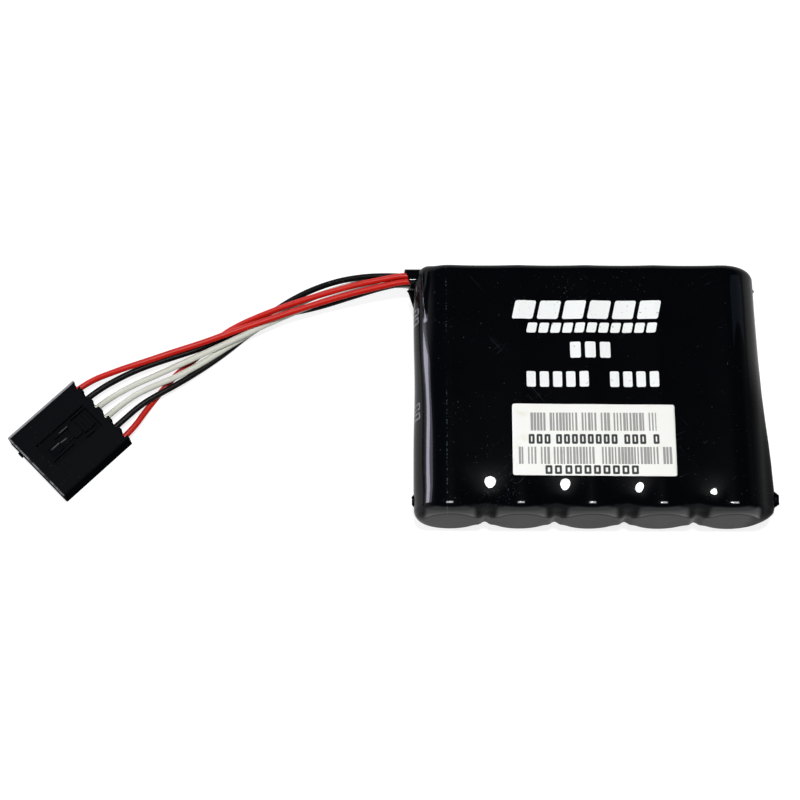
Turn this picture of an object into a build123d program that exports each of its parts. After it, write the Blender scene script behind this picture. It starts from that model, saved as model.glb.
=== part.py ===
from build123d import *
import math
import os

# A cache backup pack: five capacitor cells side by side in one shrink film, a balance
# board across their leads, and six loose wires to a latching crimp housing.
# Millimetres. X runs across the cells, Y from the film's closed front to its open rear,
# Z up. The shapes are drawn with Y = 0 at the film's front, and save() then moves them,
# so that the origin is on the table, under the middle of the pack.

# Cells
cell_count = 5
cell_pitch = 12.12
can_radius = 5.925
can_length = 38.6
groove_depth = 0.45
groove_width = 1.1
groove_setback = 3.4
mouth_radius = 5.0
mouth_depth = 2.6
cell_sleeve_wall = 0.09
cell_sleeve_curl = 1.2
sleeve_clearance = 0.02

# Rubber bungs and their leads
bung_depth = 2.4
bung_clearance = 0.02
bung_dome = 0.5
lead_radius = 0.4
lead_spacing = 5.0
lead_hole_clearance = 0.02
lead_tail = 0.5

# Outer film
film_thickness = 0.18
film_clearance = 0.045
crest_flat_width = 2.0
valley_depth = 0.25
front_rim_radius = 1.95
rear_rim_radius = 1.6
nose_length = 2.4
valley_deepens_from = 9.8
valley_bend_radius = 30.0
valley_dips_from = 5.0
valley_dip_radius = 13.0
saddle_width = 2.2
saddle_depth = 0.55
rear_opening_width = 52.0
rear_opening_height = 6.8
crease_reach = 1.45
crease_start = 0.05
crease_rear_setback = 9.0
crease_front_setback = 5.0

# Film collar round the wires, at the rear of the left side
collar_width = 3.6
collar_height = 4.9
collar_wall = 0.25
collar_setback = 0.94
collar_middle_z = 6.4
collar_reach = 1.2
collar_root = 0.6

# Pinched film corners in plan: how far each point stands out from the film's side, and its Y
# from the front, or back from the rear
ear_thickness = 0.36
left_front_ear = [(-0.7, 5.6), (0.4, 4.2), (0.1, 3.4), (0.35, 2.9), (-0.7, 1.6)]
right_front_ear = [(0.1, 7.4), (2.25, 4.7), (1.8, 1.9), (-0.3, 1.2)]
left_rear_ear = [(-0.7, -6.4), (0.85, -3.1), (-0.7, -3.1)]
right_rear_ear = [(-0.6, -4.4), (0.25, -2.7), (-0.6, -2.1)]

# Cards and balance board
card_thickness = 0.3
card_inset = 0.35
card_gap = 0.1
board_standoff = 0.6
board_thickness = 1.0
board_inset = 0.3
board_hole_clearance = 0.1
rear_card_thickness = 0.4
wiring_room = 4.37
rear_card_inset = 1.15
rear_card_cut = 5.0

# Parts soldered to the board
resistor_size = (3.1, 0.6, 1.6)
resistor_row = 3.6
regulator_size = (2.9, 1.1, 1.4)
regulator_row = -3.4
chip_size = (4.9, 1.5, 3.9)
chip_bevel = 0.2
chip_pitch = 1.27
chip_pins_per_side = 4
chip_pin_width = 0.42
chip_pin_thickness = 0.18
chip_pin_reach = 1.0
chip_pin_shoulder = 0.22
chip_pin_heel = 0.4
solder_height = 0.4
solder_foot = 0.95
solder_neck = 0.5
pad_offset = 5.74
pad_rows = {"red_1": 10.0, "black_1": 5.2, "white_1": 3.6, "white_2": 2.0, "black_2": 6.8, "red_2": 8.4}
bead_length = 2.2
bead_width = 1.2
bead_height = 1.6
bead_edge_radius = 0.25
wire_lift = 1.11

# Printed label on the crests
label_width = 28.0
label_height = 12.9
label_thickness = 0.09
label_middle = (0.4, 12.8)
label_turn = -0.35
label_corner = 0.6

# Crimp housing, in its own frame: X towards the wires, Y across them
pin_pitch = 2.54
housing_length = 15.4
housing_width = 15.1
housing_height = 4.2
housing_middle = (-59.8, -29.24)
housing_turn = 44.9
side_bevel = 0.5
edge_bevel = 0.15
cavity_size = 2.0
cavity_middle = 2.1
front_wall = 1.7
pin_hole = 1.0
lead_in = 0.35
notch_width = 1.5
notch_length = 0.6
mating_rib = (0.3, 1.0, 0.6)
mating_rib_place = (4.7, 0.5)

# Its latch, in a pocket of this length, width and depth. Each piece has its start and end
# along the pocket (counted back from the pocket's end where negative), its width and how
# far it stays below the housing's top. Each rail has its start, its end and its middle.
latch_pocket = (11.0, 5.4, 0.75)
latch_pocket_middle = 0.3
latch_ramp = (1.0, 3.4, 2.0, 0.05)
latch_arm = (3.6, -2.5, 1.4, 0.35)
latch_stop = (-4.9, -3.35, 2.3, 0.15)
thumb_pad = (-3.0, -0.5, 3.0, 0)
thumb_grooves = 3
thumb_groove_setback = 0.5
thumb_groove_pitch = 0.75
thumb_groove_width = 0.3
thumb_groove_depth = 0.25
rail_width = 0.3
latch_rails = [(3.4, 6.4, 1.5), (0.4, 5.3, -1.5), (-3.4, 0, 2.2), (-3.4, -1.6, -2.2)]

# Crimp terminals
terminal_clearance = 0.1
terminal_wall = 0.2
contact_length = 6.2
spring_width = 0.8
spring_rise = 0.3
spring_setback = 0.6
terminal_floor_width = 0.7
crimp_foot_width = 0.4
crimp_wall = 0.22
conductor_crimp_inset = 0.3
insulation_crimp_inset = 0.1
conductor_crimp_length = 2.0
insulation_crimp_length = 1.3

# Wires
wire_radius = 0.55
strand_radius = 0.27
strip_length = 2.6
wire_seat = 4.6
wire_straight = 9.0
wire_seat_clearance = 0.01

# The free stretch of each wire, from the housing to the inside of the film. X and Y are
# counted from the collar's mouth, and Z from the table.
wire_routes = {
    "red_1": [
        (-51.4, -16.1, 3.3), (-46.6, -14.4, 3.5), (-41.9, -12.6, 3.4), (-36.9, -10.8, 3.4),
        (-32.0, -8.9, 3.6), (-26.9, -7.1, 3.9), (-21.2, -5.5, 4.4), (-15.4, -4.0, 5.2),
        (-9.6, -2.7, 6.1), (-4.3, -1.6, 7.0), (-0.2, -0.7, 7.6), (4.2, -1.3, 8.3),
        (9.2, -2.7, 9.6),
    ],
    "black_1": [
        (-50.8, -17.1, 2.5), (-46.8, -15.2, 2.4), (-42.0, -13.4, 2.2), (-37.4, -11.7, 2.0),
        (-33.5, -9.9, 1.8), (-29.6, -8.0, 1.5), (-25.9, -5.3, 1.3), (-21.7, -2.5, 2.1),
        (-17.3, -0.6, 3.3), (-12.5, 0.6, 4.6), (-7.8, 1.0, 5.6), (-3.8, 0.9, 6.2),
        (-0.2, 0.7, 6.4), (4.2, -0.1, 5.8), (9.2, -2.5, 5.3),
    ],
    "white_1": [
        (-49.6, -19.1, 2.3), (-45.2, -17.0, 2.3), (-40.8, -14.9, 2.5), (-36.4, -12.8, 2.8),
        (-32.0, -10.7, 3.0), (-27.3, -8.2, 3.0), (-22.6, -5.9, 2.9), (-17.2, -3.6, 3.3),
        (-11.2, -1.9, 4.3), (-5.3, -0.5, 4.9), (-0.2, -0.3, 5.2), (4.2, -1.3, 4.7),
        (9.2, -2.8, 3.9),
    ],
    "white_2": [
        (-49.0, -20.8, 2.2), (-45.2, -18.8, 2.1), (-41.3, -17.1, 2.1), (-37.3, -14.7, 2.0),
        (-33.1, -11.7, 1.8), (-28.5, -8.6, 1.8), (-23.1, -4.6, 2.0), (-17.3, -1.9, 2.8),
        (-11.1, -0.1, 3.9), (-5.3, 0.7, 4.9), (-0.2, 0.9, 5.2), (4.2, 0.0, 4.4),
        (9.2, -2.4, 2.6),
    ],
    "black_2": [
        (-47.4, -22.3, 2.0), (-44.3, -20.3, 1.9), (-40.8, -18.1, 1.6), (-36.6, -15.0, 1.0),
        (-32.4, -11.6, 0.7), (-28.2, -7.8, 0.6), (-22.7, -4.7, 0.9), (-16.7, -4.3, 2.2),
        (-10.7, -3.0, 4.2), (-4.9, -1.4, 5.8), (-0.2, -0.5, 6.4), (4.2, -1.3, 6.4),
        (9.2, -2.7, 6.8),
    ],
    "red_2": [
        (-46.7, -23.2, 1.1), (-44.4, -19.7, 0.6), (-41.4, -15.8, 0.6), (-37.5, -12.5, 0.7),
        (-33.7, -8.6, 0.9), (-30.2, -6.8, 1.8), (-26.3, -5.5, 3.0), (-21.2, -3.8, 4.1),
        (-15.4, -2.2, 5.2), (-9.6, -0.9, 6.3), (-4.3, -0.1, 7.1), (-0.2, 0.5, 7.6),
        (4.2, -0.2, 7.2), (9.2, -2.5, 8.0),
    ],
}

# Sizes that follow from the ones above
cell_radius = can_radius + sleeve_clearance + cell_sleeve_wall
film_radius = cell_radius + film_clearance + film_thickness
middle_z = math.sqrt(film_radius**2 - (crest_flat_width / 2) ** 2)
crest_z = middle_z + film_radius
half_pitch = cell_pitch / 2
row_width = cell_pitch * (cell_count - 1)
cell_places = [cell_pitch * i - row_width / 2 for i in range(cell_count)]
between_places = [x + half_pitch for x in cell_places[:-1]]
cell_front = film_thickness + film_clearance
can_front = cell_front + cell_sleeve_wall + sleeve_clearance
can_back = can_front + can_length
cell_back = can_back + sleeve_clearance + cell_sleeve_wall
can_edge_radius = front_rim_radius - film_thickness - film_clearance - cell_sleeve_wall - sleeve_clearance
card_front = cell_back + card_gap
board_front = card_front + card_thickness + board_standoff
board_back = board_front + board_thickness
rear_card_back = board_back + wiring_room + rear_card_thickness
pack_length = rear_card_back + film_clearance + film_thickness
side_x = row_width / 2 + film_radius
collar_mouth = Vector(-side_x - collar_reach, pack_length - collar_setback, 0)
lead_end = board_back + lead_tail
wire_names = list(wire_routes)

os.makedirs("parts", exist_ok=True)


def save(name, shape):
    """Write one sub-part under the name of its node, about the middle of the pack."""
    moved = shape.moved(Location((0, -pack_length / 2, 0)))
    moved.label = name
    export_step(moved, f"parts/{name}.step")


def across(y):
    """The plane square to the cells at y, with its own x along X and its own y up."""
    return Plane(origin=(0, y, 0), x_dir=(1, 0, 0), z_dir=(0, -1, 0))


def prism(face, start, end):
    """Carry a face drawn square to the cells from y = start to y = end."""
    return extrude(across(start) * face, amount=start - end)


def disc(radius, x, z, start, end):
    return prism(Pos(x, z) * Circle(radius), start, end)


def valley_at(y):
    """The valleys' depth at y: even along the pack, and bending down twice near the front."""
    bend = max(0, valley_deepens_from - y) ** 2 / (2 * valley_bend_radius)
    dip = max(0, valley_dips_from - y) ** 2 / (2 * valley_dip_radius)
    return valley_depth + bend + dip


def film_outline(inset, depth):
    """Crest arcs round the cells, joined tangentially by shallow valley arcs."""
    radius = film_radius - inset
    reach = (half_pitch**2 + depth**2) / (2 * depth)
    run = radius * half_pitch / reach
    high = middle_z + radius * (reach - depth) / reach
    low = 2 * middle_z - high
    arcs = []
    for x, side in ((cell_places[0], -1), (cell_places[-1], 1)):
        outermost = (x + side * radius, middle_z)
        arcs.append(ThreePointArc((x - side * run, high), outermost, (x - side * run, low)))
    for z, side in ((high, 1), (low, -1)):
        for x in cell_places[1:-1]:
            highest = (x, middle_z + side * radius)
            arcs.append(ThreePointArc((x - run, z), highest, (x + run, z)))
        for x in between_places:
            lowest = (x, middle_z + side * (radius - depth))
            arcs.append(ThreePointArc((x - half_pitch + run, z), lowest, (x + half_pitch - run, z)))
    return make_face(arcs)


def film_form(inset):
    """The space inside the film's outer skin, drawn in by inset on every side."""
    nose = prism(film_outline(inset, valley_at(nose_length)), inset, nose_length)
    nose = fillet(nose.faces().sort_by(Axis.Y)[0].edges(), front_rim_radius - inset)
    steps = [nose_length + (valley_deepens_from - nose_length) * i / 3 for i in range(4)]
    blend = loft([across(y) * film_outline(inset, valley_at(y)) for y in steps])
    body = prism(film_outline(inset, valley_depth), valley_deepens_from, pack_length - inset)
    body = fillet(body.faces().sort_by(Axis.Y)[-1].edges(), rear_rim_radius - inset)
    form = nose + blend + body
    saddle_radius = ((saddle_width / 2) ** 2 + saddle_depth**2) / (2 * saddle_depth)
    for x in between_places:
        form -= Pos(x, saddle_depth - saddle_radius, middle_z) * Cylinder(
            saddle_radius + inset, 3 * film_radius
        )
    return form


def crease():
    """The lay-flat tube's crease down the right side, which grows towards the front."""
    x = cell_places[-1]
    rear = pack_length - crease_rear_setback
    front = crease_front_setback
    wedges = []
    reaches = ((rear, crease_start), ((rear + front) / 2, crease_reach / 3), (front, crease_reach))
    for y, reach in reaches:
        turn = math.acos(film_radius / (film_radius + reach))
        root_x = x + (film_radius - film_thickness / 2) * math.cos(turn)
        root_z = (film_radius - film_thickness / 2) * math.sin(turn)
        wedges.append(
            across(y)
            * make_face(
                Polyline(
                    (root_x, middle_z - root_z),
                    (x + film_radius + reach, middle_z),
                    (root_x, middle_z + root_z),
                    close=True,
                )
            )
        )
    return loft(wedges, ruled=True)


def ear(side, datum, outline):
    """A small pinched corner of the film, at the height of its crease."""
    plane = Plane.XY.offset(middle_z - ear_thickness / 2)
    points = [(side * (side_x + reach), datum + y) for reach, y in outline]
    return extrude(plane * make_face(Polyline(*points, close=True)), amount=ear_thickness)


def ears():
    return [
        ear(-1, 0, left_front_ear),
        ear(1, 0, right_front_ear),
        ear(-1, pack_length, left_rear_ear),
        ear(1, pack_length, right_rear_ear),
    ]


def collar_block(wall, start, end):
    """A rounded block along X about the wires, inside the collar's wall."""
    origin = (start, collar_mouth.Y, collar_middle_z)
    plane = Plane(origin=origin, x_dir=(0, 1, 0), z_dir=(1, 0, 0))
    face = plane * RectangleRounded(collar_width - 2 * wall, collar_height - 2 * wall, 1.0 - wall)
    return extrude(face, amount=end - start)


def outer_film():
    skin = film_form(0) + crease() + ears()
    skin -= Pos(0, 0, -film_radius) * Box(4 * side_x, 4 * pack_length, 2 * film_radius)
    skin += collar_block(0, collar_mouth.X, collar_root - side_x)
    skin -= film_form(film_thickness)
    opening = Pos(0, middle_z) * SlotOverall(rear_opening_width, rear_opening_height)
    skin -= prism(opening, pack_length - 2 * film_thickness, pack_length + 1)
    skin -= collar_block(collar_wall, collar_mouth.X - 1, cell_places[0])
    return skin


def can():
    """A deep drawn can with its rolled groove, and the mouth that the bung closes."""
    groove_middle = can_length - groove_setback
    profile = make_face(
        [
            *Polyline(
                (0, can_length - mouth_depth), (0, 0), (can_radius - can_edge_radius, 0)
            ).edges(),
            ThreePointArc(
                (can_radius - can_edge_radius, 0),
                (
                    can_radius - can_edge_radius * (1 - math.sin(math.pi / 4)),
                    can_edge_radius * (1 - math.cos(math.pi / 4)),
                ),
                (can_radius, can_edge_radius),
            ),
            Line((can_radius, can_edge_radius), (can_radius, groove_middle - groove_width / 2)),
            ThreePointArc(
                (can_radius, groove_middle - groove_width / 2),
                (can_radius - groove_depth, groove_middle),
                (can_radius, groove_middle + groove_width / 2),
            ),
            *Polyline(
                (can_radius, groove_middle + groove_width / 2),
                (can_radius, can_length),
                (mouth_radius, can_length),
                (mouth_radius, can_length - mouth_depth),
                (0, can_length - mouth_depth),
            ).edges(),
        ]
    )
    return revolve(profile, Axis.Y)


def cell_sleeve():
    """The thin printed sleeve of one cell, with its ends shrunk over the can's."""
    inner = can_radius + sleeve_clearance
    inner_edge = can_edge_radius + sleeve_clearance
    outer_edge = inner_edge + cell_sleeve_wall
    length = can_length + 2 * (sleeve_clearance + cell_sleeve_wall)
    outer_block = prism(Circle(cell_radius), 0, length)
    outer_block = fillet(outer_block.faces().sort_by(Axis.Y)[0].edges(), outer_edge)
    inner_block = prism(Circle(inner), cell_sleeve_wall, length - cell_sleeve_wall)
    inner_block = fillet(inner_block.faces().sort_by(Axis.Y)[0].edges(), inner_edge)
    window = cell_radius - outer_edge - cell_sleeve_curl
    through = prism(Circle(window), -1, length / 2) + prism(
        Circle(inner - cell_sleeve_curl), length / 2, length + 1
    )
    return outer_block - inner_block - through


def lead_places():
    return [-lead_spacing / 2, lead_spacing / 2]


def bung():
    """The rubber bung that closes the can, with a hole for each lead."""
    radius = mouth_radius - bung_clearance
    body = prism(Circle(radius), 0, bung_depth)
    body = fillet(body.faces().sort_by(Axis.Y)[-1].edges(), bung_dome)
    for x in lead_places():
        body -= disc(lead_radius + lead_hole_clearance, x, 0, -1, bung_depth + 1)
    return body


def lead_pair():
    bottom = can_back - mouth_depth + bung_clearance
    return [disc(lead_radius, x, 0, bottom, lead_end) for x in lead_places()]


def row_slot(inset):
    """A slot that follows the row of cells, drawn in from the film's inner skin."""
    radius = film_radius - film_thickness - valley_depth - inset
    return Pos(0, middle_z) * SlotCenterToCenter(row_width, 2 * radius)


def with_lead_holes(sheet, clearance):
    for x in cell_places:
        for side in lead_places():
            sheet -= disc(lead_radius + clearance, x + side, middle_z, card_front - 1, board_back + 1)
    return sheet


def lead_card():
    return with_lead_holes(
        prism(row_slot(card_inset), card_front, card_front + card_thickness), lead_hole_clearance
    )


def balance_board():
    return with_lead_holes(prism(row_slot(board_inset), board_front, board_back), board_hole_clearance)


def rear_card():
    """The card that the rear opening shows, cut square on the left to let the wires pass."""
    front = rear_card_back - rear_card_thickness
    sheet = prism(row_slot(rear_card_inset), front, rear_card_back)
    cut_x = rear_card_cut - side_x
    gap = Pos(cut_x - film_radius, rear_card_back, middle_z)
    return sheet - gap * Box(2 * film_radius, 3 * rear_card_thickness, 3 * film_radius)


def lead_solder():
    """A small cone of solder round each lead, on the rear of the board."""
    cones = []
    for x in cell_places:
        for side in lead_places():
            spot = Plane(origin=(x + side, board_back + solder_height / 2, middle_z), z_dir=(0, 1, 0))
            cone = spot * Cone(solder_foot, solder_neck, solder_height)
            cones.append(cone - disc(lead_radius, x + side, middle_z, board_back - 1, lead_end + 1))
    return cones


def on_board(size, x, z):
    """A flat component that sits on the rear of the board."""
    return Pos(x, board_back + size[1] / 2, z) * Box(*size)


def balance_resistors():
    return [on_board(resistor_size, x, middle_z + resistor_row) for x in cell_places[1:]]


def shunt_regulators():
    return [on_board(regulator_size, x, middle_z + regulator_row) for x in cell_places[1:]]


def chip_middle():
    return (between_places[-2], middle_z)


def memory_chip():
    x, z = chip_middle()
    body = on_board(chip_size, x, z)
    return chamfer(body.faces().sort_by(Axis.Y)[-1].edges(), chip_bevel)


def chip_pins():
    """Short formed legs along both long edges of the chip, each from its side to the board."""
    x, z = chip_middle()
    legs = []
    rise = chip_size[1] / 2
    wall = chip_pin_thickness
    for side in (-1, 1):
        profile = make_face(
            Polyline(
                (0, side * chip_pin_reach),
                (0, side * chip_pin_heel),
                (rise - wall, side * chip_pin_shoulder),
                (rise - wall, 0),
                (rise, 0),
                (rise, side * (chip_pin_shoulder + wall)),
                (wall, side * (chip_pin_heel + wall)),
                (wall, side * chip_pin_reach),
                close=True,
            )
        )
        for i in range(chip_pins_per_side):
            leg_x = x + (i - (chip_pins_per_side - 1) / 2) * chip_pitch - chip_pin_width / 2
            origin = (leg_x, board_back, z + side * chip_size[2] / 2)
            plane = Plane(origin=origin, x_dir=(0, 1, 0), z_dir=(1, 0, 0))
            legs.append(extrude(plane * profile, amount=chip_pin_width))
    return legs


def board_wire_end(name):
    return Vector(cell_places[0] + pad_offset, board_back + wire_lift, pad_rows[name])


def strands_at_board(name):
    start = board_wire_end(name)
    plane = Plane(origin=start, z_dir=(1, 0, 0))
    return extrude(plane * Circle(strand_radius), amount=strip_length)


def wire_solder():
    """A rounded bead over the stripped end of each wire, on its pad."""
    beads = []
    for name in wire_names:
        spot = board_wire_end(name)
        middle = Pos(spot.X + strip_length / 2, board_back + bead_height / 2, spot.Z)
        bead = middle * Box(bead_length, bead_height, bead_width)
        bead = fillet(bead.faces().sort_by(Axis.Y)[-1].edges(), bead_edge_radius)
        beads.append(bead - strands_at_board(name))
    return beads


def label():
    sheet = RectangleRounded(label_width, label_height, label_corner)
    place = Pos(label_middle[0], label_middle[1], crest_z) * Rot(0, 0, label_turn)
    return extrude(place * sheet, amount=label_thickness)


# The crimp housing and what it holds
housing_place = Pos(collar_mouth) * Pos(*housing_middle) * Rot(0, 0, housing_turn)
mating_x = -housing_length / 2
entry_x = housing_length / 2
cavity_rows = [pin_pitch * ((len(wire_names) - 1) / 2 - i) for i in range(len(wire_names))]


def block(x_low, x_high, y_low, y_high, z_low, z_high):
    """A box between two corners, in the housing's own frame."""
    size = (x_high - x_low, y_high - y_low, z_high - z_low)
    return Pos((x_low + x_high) / 2, (y_low + y_high) / 2, (z_low + z_high) / 2) * Box(*size)


def housing_blank():
    blank = block(mating_x, entry_x, -housing_width / 2, housing_width / 2, 0, housing_height)
    long_edges = blank.edges().filter_by(Axis.X)
    blank = chamfer(long_edges.group_by(Axis.Z)[-1], side_bevel)
    blank = chamfer(blank.edges().filter_by(Axis.X).group_by(Axis.Z)[0], edge_bevel)
    return chamfer(blank.faces().sort_by(Axis.X)[0].edges(), edge_bevel)


def bar(x_low, x_high, y, width, z_low, z_high):
    """A block of this width about the line at y."""
    return block(x_low, x_high, y - width / 2, y + width / 2, z_low, z_high)


def cavity(y):
    """One terminal's cavity, with its pin hole, lead-in and the notch over its wire."""
    low, high = cavity_middle - cavity_size / 2, cavity_middle + cavity_size / 2
    room = bar(mating_x + front_wall, entry_x + 1, y, cavity_size, low, high)
    hole_low, hole_high = cavity_middle - pin_hole / 2, cavity_middle + pin_hole / 2
    hole = bar(mating_x - 1, entry_x, y, pin_hole, hole_low, hole_high)
    mouth_size = pin_hole + 2 * lead_in
    mouth = Plane(origin=(mating_x, y, cavity_middle), z_dir=(1, 0, 0)) * Rectangle(mouth_size, mouth_size)
    taper = extrude(mouth, amount=lead_in, taper=45)
    notch = bar(entry_x - notch_length, entry_x + 1, y, notch_width, cavity_middle, housing_height + 1)
    return room + hole + taper + notch


latch_start = latch_pocket_middle - latch_pocket[0] / 2
latch_end = latch_pocket_middle + latch_pocket[0] / 2
latch_floor = housing_height - latch_pocket[2]


def along_latch(start, end):
    """Both ends of a piece of the latch, each from the pocket's start, or back from its end."""
    first = latch_start + start if start >= 0 else latch_end + start
    last = latch_start + end if end > 0 else latch_end + end
    return first, last


def latch_bar(piece):
    start, end, width, drop = piece
    return bar(*along_latch(start, end), 0, width, latch_floor, housing_height - drop)


def latch_wedge(piece):
    """The ramp that the mating latch rides up."""
    start, end, width, drop = piece
    first, last = along_latch(start, end)
    profile = Polyline(
        (first, latch_floor), (last, latch_floor), (last, housing_height - drop), close=True
    )
    plane = Plane(origin=(0, width / 2, 0), x_dir=(1, 0, 0), z_dir=(0, -1, 0))
    return extrude(plane * make_face(profile), amount=width)


def latch_relief():
    """The recess round the latch, less the latch's own ramp, arm, stop, thumb pad and rails."""
    relief = bar(latch_start, latch_end, 0, latch_pocket[1], latch_floor, housing_height + 1)
    pad = latch_bar(thumb_pad)
    pad_start, _ = along_latch(*thumb_pad[:2])
    for i in range(thumb_grooves):
        start = pad_start + thumb_groove_setback + thumb_groove_pitch * i
        low = housing_height - thumb_groove_depth
        pad -= bar(start, start + thumb_groove_width, 0, 2 * thumb_pad[2], low, housing_height + 1)
    rails = [
        bar(*along_latch(start, end), middle, rail_width, latch_floor, housing_height)
        for start, end, middle in latch_rails
    ]
    return relief - (pad + latch_bar(latch_stop) + latch_bar(latch_arm) + latch_wedge(latch_ramp)) - rails


def housing():
    body = housing_blank()
    for y in cavity_rows:
        body -= cavity(y)
    body -= latch_relief()
    reach, width, height = mating_rib
    y, z = mating_rib_place
    rib = bar(mating_x - reach, mating_x + reach, y, width, z - height / 2, z + height / 2)
    return housing_place * (body + rib)


def terminal(y):
    """A folded box contact, its neck and two crimps, along one cavity."""
    width = cavity_size - 2 * terminal_clearance
    hollow = width - 2 * terminal_wall
    low, high = cavity_middle - width / 2, cavity_middle + width / 2
    start = mating_x + front_wall + terminal_clearance
    end = start + contact_length
    body = bar(start, end, y, width, low, high)
    body -= bar(start - 1, end + 1, y, hollow, low + terminal_wall, high - terminal_wall)
    spring_low = low + terminal_wall
    spring_ends = (start + spring_setback, end - spring_setback)
    body += bar(*spring_ends, y, spring_width, spring_low, spring_low + spring_rise)
    rear = wire_seat + insulation_crimp_length
    body += bar(start, rear, y, terminal_floor_width, low, low + terminal_wall)
    for x_low, length, bore in (
        (wire_seat - strip_length + conductor_crimp_inset, conductor_crimp_length, strand_radius),
        (wire_seat + insulation_crimp_inset, insulation_crimp_length, wire_radius),
    ):
        plane = Plane(origin=(x_low, y, cavity_middle), z_dir=(1, 0, 0))
        body += extrude(plane * Circle(bore + crimp_wall), amount=length)
        body += bar(x_low, x_low + length, y, crimp_foot_width, low + terminal_wall / 2, cavity_middle)
    along = Plane(origin=(mating_x, y, cavity_middle), z_dir=(1, 0, 0))
    body -= extrude(along * Circle(strand_radius), amount=wire_seat - mating_x)
    seat = Plane(origin=(wire_seat, y, cavity_middle), z_dir=(1, 0, 0))
    body -= extrude(seat * Circle(wire_radius + wire_seat_clearance), amount=wire_straight)
    return housing_place * body


def strands_at_housing(y):
    plane = Plane(origin=(wire_seat - strip_length, y, cavity_middle), z_dir=(1, 0, 0))
    return housing_place * extrude(plane * Circle(strand_radius), amount=strip_length)


def wire(name):
    """Straight runs joined by tangent arcs, each as large as its two runs allow."""
    y = cavity_rows[wire_names.index(name)]
    seat = [(housing_place * Pos(x, y, cavity_middle)).position for x in (wire_seat, wire_straight)]
    points = seat + [collar_mouth + Vector(*p) for p in wire_routes[name]] + [board_wire_end(name)]
    radii = []
    for before, corner, after in zip(points[:-2], points[1:-1], points[2:]):
        arriving, leaving = corner - before, after - corner
        half_turn = math.radians(arriving.get_angle(leaving) / 2)
        radii.append(0.45 * min(arriving.length, leaving.length) / math.tan(half_turn))
    path = FilletPolyline(*points, radius=radii)
    section = Plane(origin=path @ 0, z_dir=path % 0) * Circle(wire_radius)
    tube = sweep(section, path)
    expected = math.pi * wire_radius**2 * path.length
    print(
        f"wire {name}: {path.length:.1f} mm long, volume {tube.volume:.2f} of {expected:.2f},",
        f"smallest arc {min(radii):.1f} mm, all arcs",
        [round(r, 1) for r in radii],
    )
    return tube


save("outer_sleeve", outer_film())
save("barcode_label", label())
for i, x in enumerate(cell_places):
    place = Pos(x, 0, middle_z)
    save(f"capacitor_can_{i + 1}", place * Pos(0, can_front, 0) * can())
    save(f"can_sleeve_{i + 1}", place * Pos(0, cell_front, 0) * cell_sleeve())
    save(f"rubber_bung_{i + 1}", place * Pos(0, can_back - mouth_depth, 0) * bung())
    save(f"cell_leads_{i + 1}", Compound(children=[place * lead for lead in lead_pair()]))
save("lead_card", lead_card())
save("balance_board", balance_board())
save("rear_card", rear_card())
save("lead_solder", Compound(children=lead_solder()))
save("wire_solder", Compound(children=wire_solder()))
save("balance_resistors", Compound(children=balance_resistors()))
save("shunt_regulators", Compound(children=shunt_regulators()))
save("memory_chip", memory_chip())
save("chip_pins", Compound(children=chip_pins()))
save("connector_housing", housing())
for i, name in enumerate(wire_names):
    save(f"crimp_terminal_{i + 1}", terminal(cavity_rows[i]))
    save(f"wire_{name}", wire(name))
strands = [strands_at_housing(y) for y in cavity_rows] + [strands_at_board(name) for name in wire_names]
save("stripped_strands", Compound(children=strands))
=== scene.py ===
# %% [markdown]
# # A cache backup pack in shrink film, with a six-wire plug
# Five capacitor cells lie side by side in one skin of glossy black film. Six thin wires leave
# the film at its rear left corner and end in a flat black plug. The solids of the part are
# the frame: each visible piece below is either one of those solids with a finish on it, or
# a smoother surface that stands in its place.

# %% Load the part and keep its box
import math

import bmesh
import bpy
import numpy as np
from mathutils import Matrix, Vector


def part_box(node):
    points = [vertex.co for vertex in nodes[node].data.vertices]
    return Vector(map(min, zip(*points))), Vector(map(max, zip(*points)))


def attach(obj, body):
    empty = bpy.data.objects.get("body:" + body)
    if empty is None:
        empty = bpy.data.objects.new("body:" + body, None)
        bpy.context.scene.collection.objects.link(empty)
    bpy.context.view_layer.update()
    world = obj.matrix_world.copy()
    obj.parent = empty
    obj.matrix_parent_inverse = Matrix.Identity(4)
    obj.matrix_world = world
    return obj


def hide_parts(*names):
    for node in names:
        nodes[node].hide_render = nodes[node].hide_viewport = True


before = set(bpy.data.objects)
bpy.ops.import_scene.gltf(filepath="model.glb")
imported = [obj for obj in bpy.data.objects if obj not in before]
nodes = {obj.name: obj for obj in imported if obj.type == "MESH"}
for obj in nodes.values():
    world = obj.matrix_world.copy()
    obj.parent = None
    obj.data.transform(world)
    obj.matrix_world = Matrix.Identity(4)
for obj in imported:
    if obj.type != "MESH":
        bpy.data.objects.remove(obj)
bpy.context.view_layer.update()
mm = 0.001

# %% [markdown]
# ## Sizes from the frame
# Nothing is measured twice. The places of the cells come from their own sleeves, and the
# film's size from what it wraps, so that a change in the solids moves these pieces as well.

# %% Read the places of the cells and the film
sleeve_boxes = [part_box(f"can_sleeve_{i}") for i in range(1, 6)]
cell_x = np.array([(low.x + high.x) / 2 for low, high in sleeve_boxes])
middle_z = (sleeve_boxes[0][0].z + sleeve_boxes[0][1].z) / 2
half_pitch = (cell_x[1] - cell_x[0]) / 2
crest_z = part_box("barcode_label")[0].z
film_radius = crest_z - middle_z
film_thickness = 0.18 * mm
card_setback = 0.225 * mm
exit_setback = 0.94 * mm
exit_height = 6.4 * mm
film_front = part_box("outer_sleeve")[0].y
film_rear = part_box("rear_card")[1].y + card_setback
film_length = film_rear - film_front
side_x = cell_x[-1] + film_radius
exit_mouth = Vector((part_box("outer_sleeve")[0].x, film_rear - exit_setback, 0))
print("film", round(film_length / mm, 2), "mm long, crest radius", round(film_radius / mm, 2))

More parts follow.
